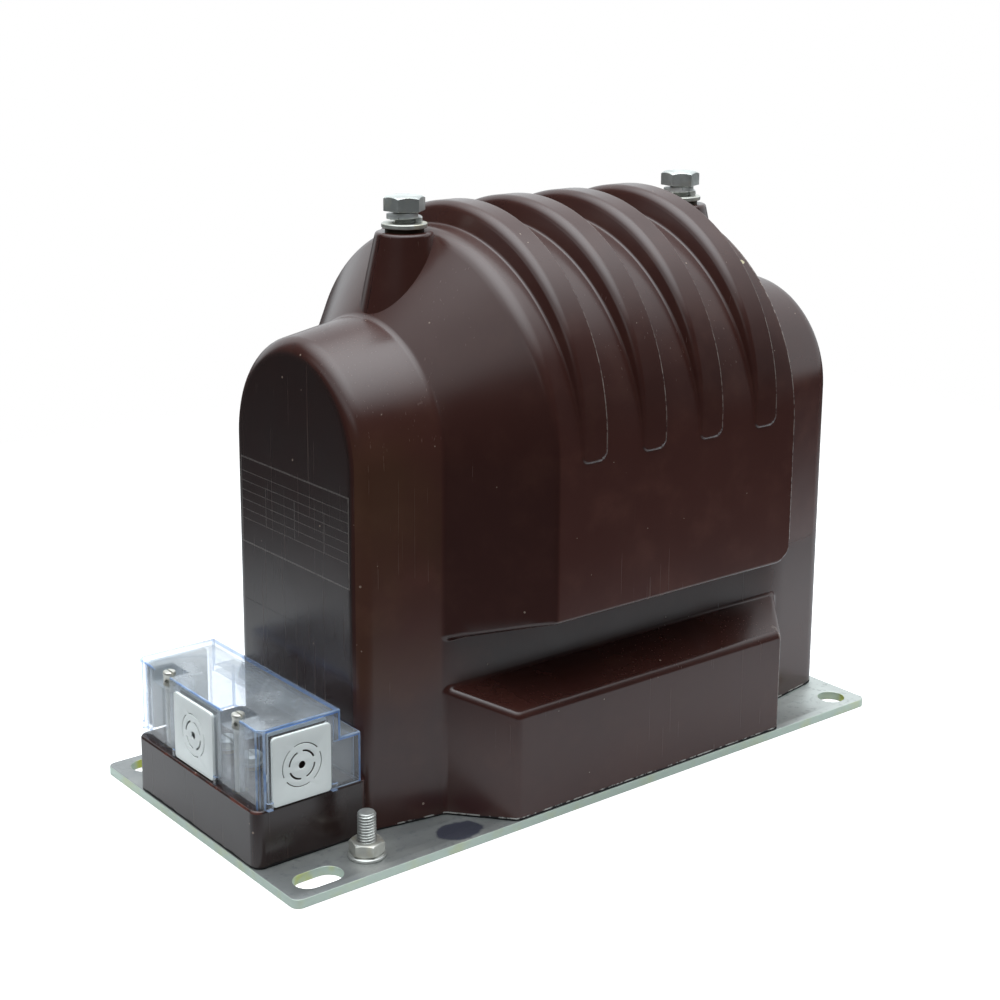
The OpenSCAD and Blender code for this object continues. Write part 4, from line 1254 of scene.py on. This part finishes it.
def make_panel(name, matrix, node, w, hollow):
    hz = 15.6
    h = w / 2
    circle = arc2(0, 0, 1.6, 0, 360, 28)[:-1]
    cavity = arc2(0, 0, 10.8, 0, 360, 48)[:-1]
    inner = [arc_slot(5.6, 6.4, a + 12, a + 78) for a in (8, 98, 188, 278)]
    outer_r = [arc_slot(9.05, 9.45, a + 7, a + 83, 16) for a in (30, 120, 210, 300)]
    face = round_rect2(-h, 0.5 - hz, h, 30.3 - hz, 1.6, 6)
    # local frame: u across, v up from the hole centre
    front = outline_solid("pf", [face, circle] + inner + outer_r, 0.6, Matrix.Identity(4), 0.2, 2)
    under = outline_solid("pu", [face, cavity], 0.7, Matrix.Identity(4), 0.0)
    web = outline_solid("pw", [round_rect2(0.05 + 2 - h, 0.5 - hz, h - 2 - 0.05, 28.15 - hz, 0.3, 2), cavity], 2.1, Matrix.Identity(4), 0.0)
    back = outline_solid("pb", [round_rect2(-h, 0.5 - hz, h, 31.9 - hz, 1.6, 6)], 1.2, Matrix.Identity(4), 0.25, 2)
    # stack along w: outer plate at 0..-1.2, web 0..2, inner plate 2..3.2
    up = Matrix(((1, 0, 0, 0), (0, 0, 1, 0), (0, 1, 0, 0), (0, 0, 0, 1)))
    for q, depth in ((front, -0.9), (under, -0.35), (web, 1.0), (back, 2.6)):
        q.data.transform(up)
        q.data.transform(Matrix.Translation((0, depth * MM, hz * MM)))
    for q in (front, under, web, back):
        q.data.transform(matrix)
        bm = bmesh.new()
        bm.from_mesh(q.data)
        bmesh.ops.recalc_face_normals(bm, faces=bm.faces)
        bm.to_mesh(q.data)
        bm.free()
    boolean(front, [under, web, back], "UNION")
    front.name = name
    smooth_by_angle(front, 35)
    paint(front, WHITE)
    front.data.materials.append(hollow)
    mid = matrix @ Vector((0, 0.75 * MM, hz * MM))
    axis = (matrix.to_3x3() @ Vector((0, 1, 0))).normalized()
    for poly in front.data.polygons:
        d = poly.center - mid
        k = d.dot(axis)
        if abs(k) < 1.3 * MM and (d - axis * k).length < 11.0 * MM:
            poly.material_index = 1
    return ride(front, [node])


make_panel("entry_end", Matrix.Translation((CX0 * MM, CM * MM, CZ0 * MM)) @ Matrix.Rotation(math.radians(-90), 4, "Z"), "entry_panel_end", PW_END, SHADE)
make_panel("entry_front", Matrix.Translation((PCX * MM, YL * MM, CZ0 * MM)), "entry_panel_front", PW_SIDE, DEEP)
make_panel("entry_back", Matrix.Translation((PCX * MM, YH * MM, CZ0 * MM)) @ Matrix.Rotation(math.pi, 4, "Z"), "entry_panel_back", PW_SIDE, DEEP)


# ---------------------------------------------------------------- cover screws

parts = []
for s in (-1, 1):
    yc = CM + s * SY
    head = lathe("sh", [(0, 63.4), (1.9, 63.4), (2.45, 63.3), (2.72, 63.05), (2.8, 62.7), (2.8, 61.9), (2.62, 61.6), (2.62, 58.1),
                        (2.8, 57.8), (2.8, 57.35), (2.65, 57.2), (0, 57.2)], 48, (-161.0, yc, 0))
    a = rounded_box("ra", (-161.4, yc - 4, 62.2), (-160.6, yc + 4, 65), 0, 0)
    b = lathe("rb", [(0, -4), (0.9, -4), (0.9, 4), (0, 4)], 24)
    b.data.transform(Matrix.Translation((-161.0 * MM, yc * MM, 59.4 * MM)) @ Matrix.Rotation(math.radians(122), 4, "Z") @ Matrix.Rotation(math.radians(90), 4, "X"))
    boolean(head, [a, b])
    parts.append(head)
    parts.append(threaded("st", 1.97, 0.7, 21.5, 57.3, (-161.0, yc), 0.5, 6, 24, True))
o = join("cover_pan_screws", parts)
smooth_by_angle(o, 32)
ride(paint(o, NUT), ["cover_screws"])


# ---------------------------------------------------------------- stage, light, camera

bm = bmesh.new()
bm.faces.new([bm.verts.new((px, py, 0)) for px, py in round_rect2(-0.62, -0.36, 0.74, 0.66, 0.15, 10)])
floor = bm_object("floor", bm)
fm = material("floor_white")
t = Tree(fm)
fpos = object_pos(t)
n = t.noise(fpos, 3.0, 2.0)
fx, fy, fz = t.xyz(fpos)
# floor colour painted dark away from the casting and towards the camera: painted shade for the dim room beyond the
# table
ox = t.math("MAXIMUM", t.math("MAXIMUM", t.math("MULTIPLY_ADD", fx, -1.0, -0.168), t.math("MULTIPLY_ADD", fx, 0.35, -0.059)), 0.0)
oy = t.math("MAXIMUM", t.math("MAXIMUM", t.math("MULTIPLY_ADD", fy, -1.0, -0.080), t.math("MULTIPLY_ADD", fy, 0.5, -0.04)), 0.0)
away = t.math("SQRT", t.math("ADD", t.math("MULTIPLY", ox, ox), t.math("MULTIPLY", oy, oy)))
near = t.math("ADD", t.math("MULTIPLY", fx, -0.821), t.math("MULTIPLY", fy, -0.496))
lit = t.math("MULTIPLY", t.step(away, 0.25, 0.03), t.step(near, 0.27, 0.14))
pale = t.mixc(lit, (0.04, 0.04, 0.042, 1), t.mixc(n, (0.65, 0.66, 0.67, 1), (0.67, 0.68, 0.69, 1)))
p = t.add("ShaderNodeBsdfPrincipled", None, Base_Color=pale)
p.inputs["Roughness"].default_value = 0.9
p.inputs["Specular IOR Level"].default_value = 0.0
glow = t.add("ShaderNodeEmission")
glow.inputs["Color"].default_value = (1, 1, 1, 1)
seen_by = t.add("ShaderNodeLightPath").outputs["Is Camera Ray"]
t.put(glow, "Strength", seen_by)
both = t.add("ShaderNodeAddShader", None, i0=p, i1=glow)
t.add("ShaderNodeOutputMaterial", None, Surface=both)
floor.data.materials.append(fm)
floor.location.z = -0.0002

world = bpy.data.worlds.new("studio")
scene.world = world
world.use_nodes = True
world.node_tree.nodes.clear()
wt = Tree(world)
wd = wt.add("ShaderNodeTexCoord").outputs["Generated"]
wx, wy, wz = wt.xyz(wd)
# large soft ceiling, pale backdrop on the far right, softer light on the left, dim room in front
far = wt.math("ADD", wt.math("MULTIPLY", wx, 0.84), wt.math("MULTIPLY", wy, 0.54))
lift = wt.math("MULTIPLY", wt.math("MULTIPLY", wt.step(far, 0.15, -0.45), wt.step(wz, 0.95, 0.7)), wt.step(wx, -0.6, -0.2))
up = wt.math("MULTIPLY", wt.math("POWER", wt.math("MULTIPLY_ADD", lift, -0.16, wt.math("MULTIPLY_ADD", wz, 2.174, -1.174), clamp=True), 1.3), 4.9)
backdrop = wt.math("MULTIPLY", wt.step(far, 0.22, 0.42), wt.step(wz, -0.08, 0.02))
left = wt.math("MULTIPLY", wt.step(wx, -0.55, -0.8), wt.step(wz, 0.28, 0.5))
room = wt.math("MAXIMUM", wt.math("MULTIPLY", backdrop, 1.0), wt.math("MULTIPLY", left, 1.2))
room = wt.math("MAXIMUM", wt.math("MAXIMUM", room, up), 0.05)
cam_ray = wt.add("ShaderNodeLightPath").outputs["Is Camera Ray"]
seen = wt.math("ADD", wt.math("MULTIPLY", room, wt.math("SUBTRACT", 1.0, cam_ray)), cam_ray)
bg = wt.add("ShaderNodeBackground", None, Strength=seen)
wt.put(bg, "Color", wt.mixc(cam_ray, (0.94, 1.0, 1.03, 1), (1, 1, 1, 1)))
wt.add("ShaderNodeOutputWorld", None, Surface=bg)


scene.view_settings.view_transform = "Standard"
scene.view_settings.look = "None"

cam_data = bpy.data.cameras.new("camera")
cam = bpy.data.objects.new("camera", cam_data)
scene.collection.objects.link(cam)
az, el, roll = map(math.radians, (-38.609, 12.789, 0.424))
back = Vector((math.sin(az) * math.cos(el), -math.cos(az) * math.cos(el), math.sin(el)))
right = Vector((math.cos(az), math.sin(az), 0))
up = back.cross(right)
r2 = right * math.cos(roll) + up * math.sin(roll)
u2 = -right * math.sin(roll) + up * math.cos(roll)
mw = Matrix((r2, u2, back)).transposed().to_4x4()
mw.translation = Vector((-0.5163, -0.64147, 0.3623))
cam.matrix_world = mw
cam_data.sensor_width = 36
cam_data.lens = 66.401
cam_data.shift_y = -0.12
cam_data.clip_start = 0.01
cam_data.clip_end = 50
scene.camera = cam
